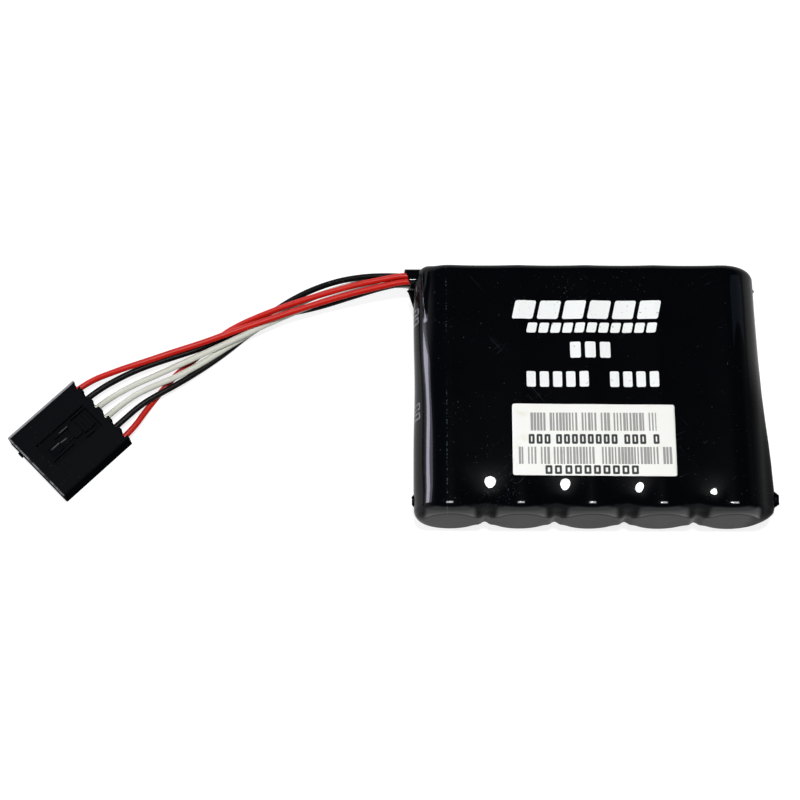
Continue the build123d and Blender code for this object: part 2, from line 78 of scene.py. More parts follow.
# %% [markdown]
# ## Camera
# The photograph looks down on the table at about 70 degrees, from the side of the closed
# film end. A long lens keeps the sides of the pack nearly parallel, as they are there.

# %% Set the camera
camera_data = bpy.data.cameras.new("photo_camera")
camera_data.sensor_width = 36
camera_data.lens = 81.8
camera_data.clip_start = 0.01
camera = bpy.data.objects.new("photo_camera", camera_data)
camera.location = (-32.7 * mm, -108.3 * mm, 308.5 * mm)
camera.rotation_euler = (math.radians(19.57), 0, math.radians(0.12))
bpy.context.scene.collection.objects.link(camera)
bpy.context.scene.camera = camera
print("camera", camera_data.lens, "mm lens")

# %% [markdown]
# ## Helpers for meshes
# Each new surface is a grid of points that a formula gives for the whole array at once. Its
# rows run one way over the surface and its columns the other, so the faces need no table.


# %% Turn a grid of points into a piece
def grid_faces(rows, columns, closed):
    """Four corners for each cell of a grid; a closed grid joins its last column to its first."""
    row = np.arange(rows - 1)[:, None]
    column = np.arange(columns if closed else columns - 1)[None, :]
    beside = (column + 1) % columns
    corners = [row * columns + column, row * columns + beside]
    corners += [(row + 1) * columns + beside, (row + 1) * columns + column]
    return np.stack(corners, axis=-1).reshape(-1, 4)


def link_piece(name, mesh):
    """Shows a mesh as a piece that rides on the part's one body."""
    piece = bpy.data.objects.new(name, mesh)
    bpy.context.scene.collection.objects.link(piece)
    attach(piece, "root")
    return piece


def weld(mesh, distance):
    """Joins the points that lie together and turns every face outwards."""
    work = bmesh.new()
    work.from_mesh(mesh)
    bmesh.ops.remove_doubles(work, verts=work.verts, dist=distance)
    bmesh.ops.dissolve_degenerate(work, edges=work.edges, dist=distance)
    bmesh.ops.recalc_face_normals(work, faces=work.faces)
    work.to_mesh(mesh)
    work.free()
    mesh.polygons.foreach_set("use_smooth", np.ones(len(mesh.polygons), bool))
    mesh.update()


def surface_piece(name, points, faces):
    """A smooth piece from an array of points and the four corners of each face."""
    mesh = bpy.data.meshes.new(name)
    mesh.from_pydata(points.reshape(-1, 3).tolist(), [], faces.tolist())
    weld(mesh, 0.002 * mm)
    print(name, len(mesh.polygons), "faces")
    return link_piece(name, mesh)


def add_wall(piece, thickness):
    """Gives a skin its wall, inwards from the surface that was drawn."""
    solidify = piece.modifiers.new("wall", "SOLIDIFY")
    solidify.thickness = thickness
    solidify.offset = -1
    solidify.use_even_offset = True


# %% [markdown]
# ## Helpers for finishes
# A finish is a small tree of nodes. Short helpers keep the trees readable: one adds a node
# and joins its inputs, and the others do a sum, a product or a distance. An effect that
# several finishes share is a node group, made once and placed with its own values.


# %% Add nodes, sums and groups
def add_node(tree, kind, inputs=None, **settings):
    """A node with its settings, whose inputs are given as values or as sockets to join."""
    made = tree.nodes.new(kind)
    for key, value in settings.items():
        setattr(made, key, value)
    for key, value in (inputs or {}).items():
        if isinstance(value, bpy.types.NodeSocket):
            tree.links.new(value, made.inputs[key])
        else:
            made.inputs[key].default_value = value
    return made


def axes_of(tree, place):
    """The x, y and z of a place."""
    return add_node(tree, "ShaderNodeSeparateXYZ", {0: place}).outputs


def sum_of(tree, operation, *values):
    """The result of one operation on one, two or three values."""
    node = add_node(tree, "ShaderNodeMath", dict(enumerate(values)), operation=operation)
    return node.outputs[0]


def product_of(tree, *values):
    """Two or more values multiplied one after another."""
    product = values[0]
    for value in values[1:]:
        product = sum_of(tree, "MULTIPLY", product, value)
    return product


def distance_from(tree, value, place):
    """How far a value lies from a place on either side of it."""
    return sum_of(tree, "ABSOLUTE", sum_of(tree, "SUBTRACT", value, place))


def held_in_range(tree, value):
    """The value, held between 0 and 1."""
    return add_node(tree, "ShaderNodeClamp", {0: value}).outputs[0]


def blend_colour(tree, amount, first, second):
    """The first colour where amount is 0, and the second where it is 1."""
    node = add_node(tree, "ShaderNodeMix", {0: amount, 6: first, 7: second}, data_type="RGBA")
    return node.outputs[2]


def new_group(name, inputs, outputs):
    """An empty node group with the sockets that it needs."""
    group = bpy.data.node_groups.new(name, "ShaderNodeTree")
    for label, kind, value in inputs:
        socket = group.interface.new_socket(label, in_out="INPUT", socket_type="NodeSocket" + kind)
        if value is not None:
            socket.default_value = value
    for label, kind in outputs:
        group.interface.new_socket(label, in_out="OUTPUT", socket_type="NodeSocket" + kind)
    start = group.nodes.new("NodeGroupInput")
    end = group.nodes.new("NodeGroupOutput")
    return group, start, end


def place_group(tree, group, inputs):
    """The outputs of a node that holds the group, with this finish's own values."""
    return add_node(tree, "ShaderNodeGroup", inputs, node_tree=group).outputs


def new_finish(name, colour, roughness, **shader_values):
    """A material with its plain values set on the shader, and its tree and place to add to."""
    material = bpy.data.materials.new(name)
    material.use_nodes = True
    tree = material.node_tree
    shader = tree.nodes["Principled BSDF"]
    shader.inputs["Base Color"].default_value = (*colour, 1)
    shader.inputs["Roughness"].default_value = roughness
    for key, value in shader_values.items():
        shader.inputs[key.replace("_", " ").title().replace("Ior", "IOR")].default_value = value
    place = add_node(tree, "ShaderNodeTexCoord").outputs["Object"]
    return material, tree, shader, place


def add_bump(tree, shader, height, distance, strength=1.0):
    """Raises and lowers the surface in the light by a height from 0 to 1 over a distance."""
    values = {"Height": height, "Distance": distance, "Strength": strength}
    bump = add_node(tree, "ShaderNodeBump", values)
    tree.links.new(bump.outputs["Normal"], shader.inputs["Normal"])


def dress(piece, material):
    """Puts a finish on a piece, or on the part's own solid of that name."""
    piece = nodes[piece] if isinstance(piece, str) else piece
    piece.data.materials.clear()
    piece.data.materials.append(material)


# %% [markdown]
# ## Shared effects
# Dust and lint lie on everything that has been handled. Fine noise, cut off high, leaves a
# few specks. Scratches are the same noise stretched far along one direction, so that each
# speck becomes a hair line. Both come out as masks from 0 to 1.


# %% Dust and scratches
def noise(tree, place, scale, detail=2.0, roughness=0.5):
    """A noise value from 0 to 1, with so many lumps to a metre."""
    values = {"Vector": place, "Scale": scale, "Detail": detail, "Roughness": roughness}
    return add_node(tree, "ShaderNodeTexNoise", values).outputs["Fac"]


def ramp(tree, value, low, high):
    """0 below low and 1 above high, smooth in between."""
    values = {"Value": value, "From Min": low, "From Max": high}
    node = add_node(tree, "ShaderNodeMapRange", values, interpolation_type="SMOOTHSTEP")
    return node.outputs[0]


def make_dust_group():
    """Specks where fine noise is high and a slower noise lets them gather."""
    inputs = [("Place", "Vector", None), ("Scale", "Float", 1800.0), ("Cover", "Float", 0.5)]
    group, start, end = new_group("dust_specks", inputs, [("Mask", "Float")])
    fine = noise(group, start.outputs["Place"], start.outputs["Scale"], 1.0)
    slow = noise(group, start.outputs["Place"], 90.0)
    needed = sum_of(group, "SUBTRACT", 0.86, sum_of(group, "MULTIPLY", slow, start.outputs["Cover"]))
    speck = sum_of(group, "SUBTRACT", fine, needed)
    mask = held_in_range(group, sum_of(group, "MULTIPLY", speck, 14.0))
    group.links.new(mask, end.inputs["Mask"])
    return group


def make_scratch_group():
    """Hair lines: noise that is stretched along a turned direction, cut off near its top."""
    inputs = [("Place", "Vector", None), ("Turn", "Float", 0.6), ("Cut", "Float", 0.70)]
    group, start, end = new_group("hair_scratches", inputs, [("Mask", "Float")])
    turn = add_node(group, "ShaderNodeCombineXYZ", {"Z": start.outputs["Turn"]})
    values = {"Vector": start.outputs["Place"], "Rotation": turn.outputs[0], "Scale": (1, 45, 1)}
    turned = add_node(group, "ShaderNodeMapping", values, vector_type="TEXTURE")
    line = noise(group, turned.outputs[0], 4200.0, 0.0)
    gate = noise(group, start.outputs["Place"], 110.0, 1.0)
    both = sum_of(group, "MULTIPLY", line, sum_of(group, "ADD", 0.55, gate))
    over = sum_of(group, "SUBTRACT", both, start.outputs["Cut"])
    mask = held_in_range(group, sum_of(group, "MULTIPLY", over, 9.0))
    group.links.new(mask, end.inputs["Mask"])
    return group


dust_group = make_dust_group()
scratch_group = make_scratch_group()


def dust_on(tree, place, scale, cover):
    """The mask of the dust on one finish, with its own fineness and cover."""
    return place_group(tree, dust_group, {"Place": place, "Scale": scale, "Cover": cover})[0]

# %% [markdown]
# ## Printed marks
# Where the real film and label carry print, these carry plain marks of the same size and
# weight. A row of marks folds the box into equal cells and draws one round-cornered block in
# each, from its distance to the block's edge. A bar code does the same with narrow cells and
# gives each bar a width by chance.


# %% Masks for rows of blocks and for bar codes
print_edge = 0.03 * mm


def make_block_group():
    """1 inside each block of a row, and 0 in the gaps and round the row.

    A block's edge is where the distance to its inner box, from the cell's middle, is the
    corner's radius: the length of what x and y have beyond the inner box.
    """
    labels = ("X", "Y", "Left", "Low", "High", "Step", "Count", "Filled", "Corner")
    inputs = [(label, "Float", 0.0) for label in labels]
    group, start, end = new_group("row_of_blocks", inputs, [("Mask", "Float")])
    socket = start.outputs
    from_left = sum_of(group, "SUBTRACT", socket["X"], socket["Left"])
    from_left = sum_of(group, "DIVIDE", from_left, socket["Step"])
    cell = sum_of(group, "FLOOR", from_left)
    last = sum_of(group, "SUBTRACT", socket["Count"], 1.0)
    cell = sum_of(group, "MINIMUM", sum_of(group, "MAXIMUM", cell, 0.0), last)
    in_cell = sum_of(group, "SUBTRACT", sum_of(group, "SUBTRACT", from_left, cell), 0.5)
    across = sum_of(group, "MULTIPLY", sum_of(group, "ABSOLUTE", in_cell), socket["Step"])
    half_width = product_of(group, socket["Filled"], socket["Step"], 0.5)
    middle = sum_of(group, "MULTIPLY", sum_of(group, "ADD", socket["Low"], socket["High"]), 0.5)
    up = distance_from(group, socket["Y"], middle)
    height = sum_of(group, "SUBTRACT", socket["High"], socket["Low"])
    half_height = sum_of(group, "MULTIPLY", height, 0.5)
    beyond = []
    for reach, half in ((across, half_width), (up, half_height)):
        inner = sum_of(group, "SUBTRACT", half, socket["Corner"])
        beyond.append(sum_of(group, "MAXIMUM", sum_of(group, "SUBTRACT", reach, inner), 0.0))
    squares = [sum_of(group, "MULTIPLY", value, value) for value in beyond]
    distance = sum_of(group, "SQRT", sum_of(group, "ADD", squares[0], squares[1]))
    short = sum_of(group, "SUBTRACT", socket["Corner"], distance)
    mask = held_in_range(group, sum_of(group, "DIVIDE", short, print_edge))
    group.links.new(mask, end.inputs["Mask"])
    return group


def make_bar_group():
    """Dark bars in even cells: chance leaves one in eight bare and fills the others in part."""
    inputs = [("X", "Float", 0.0), ("Step", "Float", 0.0004), ("Seed", "Float", 0.0)]
    group, start, end = new_group("bar_code", inputs, [("Mask", "Float")])
    steps = sum_of(group, "DIVIDE", start.outputs["X"], start.outputs["Step"])
    steps = sum_of(group, "ADD", steps, 100.0)
    seeded = sum_of(group, "ADD", sum_of(group, "FLOOR", steps), start.outputs["Seed"])
    width, drawn = [
        add_node(group, "ShaderNodeTexWhiteNoise", {"W": seed}, noise_dimensions="1D").outputs[0]
        for seed in (seeded, sum_of(group, "ADD", seeded, 500.0))
    ]
    filled = sum_of(group, "MULTIPLY_ADD", width, 0.45, 0.45)
    dark = sum_of(group, "LESS_THAN", sum_of(group, "FRACT", steps), filled)
    dark = sum_of(group, "MULTIPLY", dark, sum_of(group, "GREATER_THAN", drawn, 0.12))
    group.links.new(dark, end.inputs["Mask"])
    return group


block_group = make_block_group()
bar_group = make_bar_group()


def block_row(tree, x, y, left, low, high, step, count, filled=0.8, corner=0.25):
    """A row of plain blocks in place of a printed line. The sizes are in millimetres."""
    labels = ("Left", "Low", "High", "Step", "Corner")
    values = {label: size * mm for label, size in zip(labels, (left, low, high, step, corner))}
    values |= {"X": x, "Y": y, "Count": float(count), "Filled": filled}
    return place_group(tree, block_group, values)[0]


def box_row(tree, x, y, left, low, high, step, count, filled, line=0.40):
    """A row of open boxes, each a block less a smaller block inside it."""
    outer = block_row(tree, x, y, left, low, high, step, count, filled, 0.25)
    within = filled - 2 * line / step
    inner = block_row(tree, x, y, left, low + line, high - line, step, count, within, 0.1)
    return sum_of(tree, "SUBTRACT", outer, inner)


def brightest(tree, masks):
    """The largest of several masks at each point."""
    mask = masks[0]
    for other in masks[1:]:
        mask = sum_of(tree, "MAXIMUM", mask, other)
    return mask


# %% [markdown]
# ## The shrink film's finish
# The film is black, very smooth and slightly wavy, so it shows sharp but wandering
# reflections. A clear coat gives the sharp ones, and a duller layer below gives the haze
# round them. Dust, hair scratches and a worn dotted line along the first crest break up the
# black, and pale dashes over the cans' front edges are painted glints. The print is a second
# colour that the same tree mixes in by its mask.


# %% Film finish
def printed_marks(tree, place):
    """White marks on the top of the film: a slanted row, a thin row and three short lines."""
    x, y, z = axes_of(tree, place)
    slant = sum_of(tree, "MULTIPLY_ADD", y, -0.22, 0.003)
    leaning = sum_of(tree, "ADD", x, slant)
    rows = [
        block_row(tree, leaning, y, -13.4, 12.2, 15.7, 4.4, 6, 0.84, 0.4),
        block_row(tree, leaning, y, -10.2, 9.6, 11.5, 2.1, 11, 0.80, 0.3),
        block_row(tree, x, y, -3.6, 4.9, 7.9, 2.6, 3, 0.72, 0.3),
        block_row(tree, x, y, -11.3, -0.5, 2.4, 2.3, 5, 0.70, 0.3),
        block_row(tree, x, y, 3.2, -0.5, 2.4, 2.3, 4, 0.70, 0.3),
    ]
    top = sum_of(tree, "GREATER_THAN", z, middle_z)
    worn = ramp(tree, noise(tree, place, 2200.0, 3.0), 0.24, 0.34)
    return product_of(tree, brightest(tree, rows), top, worn)


def side_marks(tree, place):
    """Two short rows of small worn marks on the left side of the film."""
    x, y, z = axes_of(tree, place)
    rows = [box_row(tree, y, z, left, 6.9, 9.5, 1.7, 2, 0.8, 0.35) for left in (12.2, -5.6)]
    left = sum_of(tree, "LESS_THAN", x, 1.5 * mm - side_x)
    worn = ramp(tree, noise(tree, place, 2600.0, 3.0), 0.34, 0.56)
    return product_of(tree, brightest(tree, rows), left, worn)


def off_crest_share(tree, x, shift):
    """Distance from the nearest crest as a share of the pitch, by folding x by the cells' pitch."""
    pitch = 2 * half_pitch
    cells = sum_of(tree, "MULTIPLY_ADD", x, 1 / pitch, 0.5 - (cell_x[0] + shift) / pitch)
    return distance_from(tree, sum_of(tree, "FRACT", cells), 0.5)


def painted_rim_glints(tree, place):
    """Painted glints: pale dashes where the film turns over each can's front edge, at the top of its
    crest.
    """
    x, y, z = axes_of(tree, place)
    wide = ramp(tree, off_crest_share(tree, x, -0.2 * mm), 0.057, 0.029)
    off_rim = distance_from(tree, y, film_front + 1.66 * mm)
    narrow = ramp(tree, off_rim, 0.22 * mm, 0.06 * mm)
    top = sum_of(tree, "GREATER_THAN", z, middle_z)
    return product_of(tree, wide, narrow, top)


def crest_wear(tree, place):
    """A dotted line where the first cell's crest is worn: a narrow band times specks."""
    off = distance_from(tree, axes_of(tree, place)[0], cell_x[0] - 0.6 * mm)
    band = ramp(tree, off, 0.14 * mm, 0.04 * mm)
    specks = ramp(tree, noise(tree, place, 1700.0, 3.0), 0.50, 0.62)
    middle = ramp(tree, noise(tree, place, 60.0, 0.0), 0.42, 0.56)
    return product_of(tree, band, specks, middle)


film_coat = 0.25


def coat_share(tree, place):
    """The clear coat's weight on each part of the film.

    It is full on the top and on the left, and nearly none along the front half of the right
    side. The cell ends have half of it. On the rim above each cell end, where the film is
    drawn tight over the can, it is most.
    """
    x, y, z = axes_of(tree, place)
    outer = ramp(tree, x, side_x - 4.2 * mm, side_x - 2.2 * mm)
    nearer = ramp(tree, y, film_front + 31 * mm, film_front + 19 * mm)
    side = sum_of(tree, "MULTIPLY", outer, nearer)
    ends = ramp(tree, y, film_front + 1.0 * mm, film_front + 0.6 * mm)
    behind = ramp(tree, y, film_front + 1.5 * mm, film_front + 0.95 * mm)
    before = ramp(tree, y, film_front, film_front + 0.10 * mm)
    beside = ramp(tree, off_crest_share(tree, x, 0), 0.40, 0.30)
    above = sum_of(tree, "GREATER_THAN", z, middle_z)
    rim = product_of(tree, behind, before, above, beside)
    weight = sum_of(tree, "MULTIPLY_ADD", side, -0.94 * film_coat, film_coat)
    weight = sum_of(tree, "MULTIPLY", weight, sum_of(tree, "MULTIPLY_ADD", ends, -0.5, 1.0))
    return sum_of(tree, "MAXIMUM", weight, rim)


def make_film_finish():
    """Black film under a clear coat: marks, wear, dust and painted glints in its colour, waves in its
    gloss.
    """
    black = (0.0009, 0.0011, 0.0018)
    gloss = {"specular_ior_level": 0.012, "coat_roughness": 0.03}
    material, tree, shader, place = new_finish("shrink_film", black, 0.30, **gloss)
    dust = dust_on(tree, place, 2600.0, 0.24)
    hairs = [
        place_group(tree, scratch_group, {"Place": place, "Turn": turn, "Cut": 0.92})[0]
        for turn in (0.7, -1.1, 2.3)
    ]
    wear = crest_wear(tree, place)
    marks = printed_marks(tree, place)
    base = (*black, 1)
    for mask, share, colour in (
        (dust, 0.22, (0.13, 0.15, 0.15, 1)),
        (brightest(tree, hairs), 0.12, (0.08, 0.09, 0.11, 1)),
        (wear, 0.5, (0.06, 0.09, 0.08, 1)),
        # painted highlight: pale glints over the cans' front edges, put into the film's colour
        (painted_rim_glints(tree, place), 0.8, (0.55, 0.56, 0.56, 1)),
        (side_marks(tree, place), 0.6, (0.30, 0.30, 0.32, 1)),
        (marks, 1.0, (0.84, 0.86, 0.84, 1)),
    ):
        base = blend_colour(tree, sum_of(tree, "MULTIPLY", mask, share), base, colour)
    tree.links.new(base, shader.inputs["Base Color"])
    tree.links.new(coat_share(tree, place), shader.inputs["Coat Weight"])
    dull = sum_of(tree, "MULTIPLY_ADD", noise(tree, place, 130.0, 3.0), 0.2, 0.20)
    rough = sum_of(tree, "MAXIMUM", dull, sum_of(tree, "MULTIPLY", marks, 0.5))
    tree.links.new(rough, shader.inputs["Roughness"])
    waves = noise(tree, place, 210.0, 2.0)
    fine = sum_of(tree, "MULTIPLY", noise(tree, place, 1500.0, 2.0), 0.04)
    height = sum_of(tree, "ADD", waves, fine)
    away = add_node(tree, "ShaderNodeVectorMath", {0: place, 1: pinch_place}, operation="DISTANCE")
    pinch = ramp(tree, away.outputs["Value"], 0.50 * mm, 0)
    height = sum_of(tree, "MULTIPLY_ADD", pinch, -3.0, height)
    add_bump(tree, shader, height, 0.035 * mm)
    return material


# a small dent in the film near the wires' corner
pinch_place = Vector((cell_x[0] - 2.85 * mm, film_rear - 5.6 * mm, middle_z + 5.55 * mm))
film_finish = make_film_finish()
print("film finish", len(film_finish.node_tree.nodes), "nodes")

# %% [markdown]
# ## The film
# Heat shrinks one flat tube of film over the row of cells. Across the pack it follows each
# cell over a crest arc and spans the gap in a shallow valley arc, and the two meet without a
# kink. Towards the closed front the valleys deepen and the skin turns over a rounded rim on
# to the flat cell ends, with a groove between each two. A loft between a few sections would
# show flats in such a mirror-like skin, so every point comes from the arcs themselves.


# %% Arcs round the row of cells
def ring_plan(crest_steps, valley_steps, left_steps, right_steps):
    """For each point of a ring: its arc's centre, its kind, its angle's two shares and its valley.

    The angle from the vertical is a share of the tangent angle plus a share of a quarter
    turn, so one plan serves every depth of valley. A crest takes its tangent angle from the
    valley on the same side.
    """
    plan = []
    last = len(cell_x) - 2
    for f in np.linspace(0, 1, right_steps, endpoint=False):
        plan.append((cell_x[-1], 0, -f, 1 - f, last))
    for i in range(last, -1, -1):
        for f in np.linspace(1, -1, valley_steps, endpoint=False):
            plan.append((cell_x[i] + half_pitch, 1, f, 0, i))
        crest_shares = np.linspace(1, -1, crest_steps, endpoint=False) if i else ()
        for f in crest_shares:
            plan.append((cell_x[i], 0, f, 0, i if f > 0 else i - 1))
    for f in np.linspace(0, 1, left_steps + 1):
        plan.append((cell_x[0], 0, 1 - f, -f, 0))
    top = np.array(plan)
    below = top[-2:0:-1]
    upward = np.r_[np.ones(len(top)), -np.ones(len(below))]
    return np.vstack([top, below]).T, upward


def film_rings(plan, upward, depths, inset):
    """x and height of each ring, one row for each set of valley depths and inset.

    A crest arc has the film's radius less the inset. A valley arc has its centre above, at
    the height where it touches both crests, and its radius grows by the same inset.
    """
    centre, valley, tangent, quarter, beside = plan
    depth = depths[:, beside.astype(int)]
    reach = (half_pitch**2 + depth**2) / (2 * depth)
    angle = tangent * np.arcsin(half_pitch / reach) + quarter * np.pi / 2
    crest = film_radius - inset
    hollow = reach - film_radius + inset
    x = centre + np.where(valley > 0, hollow, crest) * np.sin(angle)
    high = np.where(valley > 0, reach - depth - hollow * np.cos(angle), crest * np.cos(angle))
    return x, high * upward, angle


# %% [markdown]
# The rows of the grid run from the middle of the closed front, out over the rim, along the
# pack, round the rear rim and in to the edge of the rear opening. The right side carries
# the crease of the flat tube, which stands out more and more towards the front.

# %% Rows along the film
front_rim = 1.95 * mm
rear_rim = 1.6 * mm
middle_depth = 0.25 * mm
deepening = np.array([9.8, 9.7, 9.5, 8.9]) * mm


def valley_depth(y):
    """Shallow along the pack; from each valley's own place it grows with the distance squared."""
    near = np.clip(deepening - y, 0, None)
    nearer = np.clip(3.6 * mm - y, 0, None)
    return middle_depth + near**2 / (60 * mm) + nearer**2 / (13.5 * mm)


def film_rows():
    """Place along the pack, inset, and how far each row has closed in, for the whole film."""
    face = np.linspace(0, 1, 15)[:-1]
    turn = np.linspace(0, np.pi / 2, 17)[:-1]
    along = np.concatenate(
        [
            np.linspace(front_rim, 10.5 * mm, 30)[:-1],
            np.linspace(10.5 * mm, film_length - rear_rim, 44)[:-1],
        ]
    )
    back_turn = np.linspace(0, np.pi / 2, 12)[:-1]
    back_face = np.linspace(0, 1, 6)
    y = np.concatenate(
        [
            0 * face,
            front_rim * (1 - np.cos(turn)),
            along,
            film_length - rear_rim * (1 - np.sin(back_turn)),
            film_length + 0 * back_face,
        ]
    )
    inset = np.concatenate(
        [
            front_rim + 0 * face,
            front_rim * (1 - np.sin(turn)),
            0 * along,
            rear_rim * (1 - np.cos(back_turn)),
            rear_rim + 0 * back_face,
        ]
    )
    squeeze = np.concatenate([face, np.ones(len(y) - len(face))])
    opening = np.concatenate([np.zeros(len(y) - len(back_face)), back_face])
    return y[:, None], inset[:, None], squeeze[:, None], opening[:, None]


def crease_reach(y):
    """How far the crease stands out of the right side, in metres, by the distance from the front."""
    places = np.array([0, 1.5, 3, 5, 7.5, 10.5, 14, 18.5, 23, 30, 39]) * mm
    reaches = np.array([0.2, 1.1, 1.5, 1.5, 1.4, 1.3, 1.1, 0.75, 0.45, 0.2, 0]) * mm
    return np.interp(y, places, reaches)


def left_folds(angle, y):
    """How far the skin stands out at the left: slow waves, and three folds near the rear.

    The waves turn the shoulder a little this way and that along the pack. Each fold is a
    narrow ridge at its own angle that drifts along the pack and fades from the rear corner.
    """
    turn = np.abs(angle)
    window = np.clip((turn - 0.25) / 0.45, 0, 1) * (angle < 0)
    waves = 0.11 * np.sin(3.1 * turn + 2.4 * np.sin(y / (9.5 * mm) + 0.6))
    waves = (waves - 0.03) * np.clip(y / (5 * mm), 0, 1)
    from_rear = (film_length - y) / mm
    # a flatter stretch of the shoulder widens the light that it mirrors, a rounder one narrows it
    shoulder = np.exp(-(((turn - 0.70) / 0.12) ** 2))
    flatter = 0.031 * np.exp(-(((from_rear - 17) / 6.0) ** 2))
    rounder = 0.045 * np.exp(-(((from_rear - 36) / 9.0) ** 2))
    waves = waves + shoulder * (rounder - flatter)
    folds = 0
    for place, drift, width, height, start, end in (
        (0.62, 0.020, 0.055, 0.20, 1.0, 8.5),
        (0.86, -0.012, 0.060, 0.26, 0.8, 10.0),
        (1.12, 0.016, 0.075, 0.24, 1.5, 7.0),
    ):
        ridge = np.exp(-(((turn - place - drift * from_rear) / width) ** 2))
        fade = np.clip((from_rear - start) / 1.5, 0, 1) * np.clip((end - from_rear) / 3.0, 0, 1)
        folds = folds + height * ridge * fade
    return (waves + folds) * window * mm


def make_film():
    """The film's whole skin, by its rows along the pack and the ring's arcs round the cells."""
    plan, upward = ring_plan(12, 14, 64, 40)
    y, inset, squeeze, opening = film_rows()
    x, height, angle = film_rings(plan, upward, valley_depth(y), inset)
    # slow waves and folds in the left side, square to the skin
    fold = left_folds(angle, y) * (squeeze == 1) * (opening == 0)
    x = x + fold * np.sin(angle)
    height = height + fold * np.cos(angle) * upward
    # the front face closes in on the line through the cells' middles
    spine = np.clip(x, cell_x[0], cell_x[-1])
    x = spine + (x - spine) * squeeze
    height = height * squeeze
    # a groove between each two cell ends, which fades behind the rim
    between = np.min(np.abs(x[..., None] - (cell_x[:-1] + half_pitch)), axis=-1)
    groove = 0.5 + 0.5 * np.cos(np.pi * np.clip(between / (1.1 * mm), 0, 1))
    y = y + 0.55 * mm * groove * np.exp(-y / (1.4 * mm))
    # the wires' spout draws the rear left corner out to the rear
    drawn = np.exp(-(((angle + 0.95) / 0.33) ** 2)) * (upward > 0) * (opening == 0)
    y = y + 0.52 * mm * drawn * np.clip((y - film_length + 4 * mm) / (4 * mm), 0, 1) ** 2
    # the right crease: a narrow ridge about the middle of the side
    sideways = np.exp(-(((angle - np.pi / 2) / 0.30) ** 2)) * (squeeze == 1)
    x = x + crease_reach(y) * sideways
    # the rear face closes in on the edge of its slot
    slot_radius = 3.4 * mm
    slot_straight = 26 * mm - slot_radius
    drawn_in = x * slot_straight / cell_x[-1]
    slot_middle = np.clip(drawn_in, -slot_straight, slot_straight)
    away_x = drawn_in - slot_middle
    away = np.maximum(np.hypot(away_x, height), 0.001 * mm)
    x = x + (slot_middle + away_x / away * slot_radius - x) * opening
    height = height + (height / away * slot_radius - height) * opening
    z = np.maximum(middle_z + height, 0)
    points = np.stack([x, film_front + y + 0 * x, z], axis=-1)
    faces = grid_faces(*x.shape, closed=True)
    # leave out the faces inside the wires' spout
    centres = points.reshape(-1, 3)[faces].mean(axis=1)
    inside = centres[:, 0] < exit_mouth.x + 2.6 * mm
    inside &= np.abs(centres[:, 1] - exit_mouth.y) < 1.55 * mm
    inside &= np.abs(centres[:, 2] - exit_height) < 2.2 * mm
    piece = surface_piece("shrink_film", points, faces[~inside])
    add_wall(piece, film_thickness)
    return piece


film = make_film()
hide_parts("outer_sleeve")
dress(film, film_finish)

# %% [markdown]
# ## The spout and the pinched corners
# At the rear left corner the film is drawn out into a short spout round the wires, with a
# thin uneven lip. At the other corners the flat tube leaves small pinched ears. Each is a
# strip of film: the spout is a rounded oblong carried along the wires, and each ear is a
# sheet that narrows from its root on the film to its tip.


# %% Spout round the wires
def make_spout():
    """A rounded oblong carried from inside the film to the mouth, which is cut at a slant.

    The root lies wholly inside the film and further forward. In the first half of the way
    the oblong shifts rearwards by a smooth step, so it grows out of the rear corner. The
    rear of the mouth reaches further left than its front, and the lip is uneven.
    """
    around = np.linspace(0, 2 * np.pi, 96, endpoint=False)[None, :]
    along = np.linspace(0, 1, 30)[:, None]
    sooner = np.clip(along / 0.55, 0, 1)
    step = sooner**2 * (3 - 2 * sooner)
    half_y, half_z = 1.72 * mm, 2.45 * mm
    across = np.sign(np.cos(around)) * np.abs(np.cos(around)) ** 0.75
    upright = np.sign(np.sin(around)) * np.abs(np.sin(around)) ** 0.75
    slant = -0.55 * across - 0.28 + 0.05 * np.sin(5 * around + 0.5)
    x = -side_x + 4.4 * mm - 5.3 * mm * along + slant * along**3 * mm
    fold = 1 + 0.03 * np.sin(6 * around + 1.0) * step
    y = exit_mouth.y - 1.9 * mm * (1 - step) + half_y * across * fold
    z = exit_height + half_z * upright * fold
    points = np.stack([x + 0 * y, y, z + 0 * x], axis=-1)
    piece = surface_piece("wire_spout", points, grid_faces(30, 96, closed=True))
    add_wall(piece, 0.22 * mm)
    return piece


spout = make_spout()
dress(spout, film_finish)


# %% Pinched ears
def make_ear(name, side, datum, root, tip, tip_width, curl):
    """A sheet from its root on the film's side to its tip; curl lifts the tip."""
    outward = np.linspace(0, 1, 9)[:, None]
    along = np.linspace(-0.5, 0.5, 9)[None, :]
    root_low, root_high = root
    middle = (root_low + root_high) / 2 + (tip[1] - (root_low + root_high) / 2) * outward
    width = (root_high - root_low) * (1 - outward) + tip_width * outward
    x = side * (side_x + (-0.7 + (tip[0] + 0.7) * outward) * mm)
    y = datum + (middle + width * along) * mm
    z = middle_z + curl * mm * outward**2 + 0.1 * mm * np.sin(9 * along) * outward
    points = np.stack(np.broadcast_arrays(x, y, z), axis=-1)
    piece = surface_piece(name, points, grid_faces(9, 9, closed=False))
    add_wall(piece, 0.16 * mm)
    return piece


ears = [
    make_ear("ear_left_rear", -1, film_rear, (-8.9, -2.8), (1.1, -3.0), 0.1, 0.1),
    make_ear("ear_left_front", -1, film_front, (1.6, 5.6), (0.35, 3.6), 1.4, 0.0),
    make_ear("ear_right_front", 1, film_front, (1.2, 7.4), (2.2, 3.9), 1.7, 0.1),
    make_ear("ear_right_rear", 1, film_rear, (-4.4, -2.1), (0.25, -2.8), 0.3, 0.1),
]
for ear in ears:
    dress(ear, film_finish)

# %% [markdown]
# ## The paper label
# A white label bridges three crests near the front. It is a thin sheet with small round
# corners that sags a little over the valleys. Its bar codes and lines of print are plain
# stripes and open boxes.


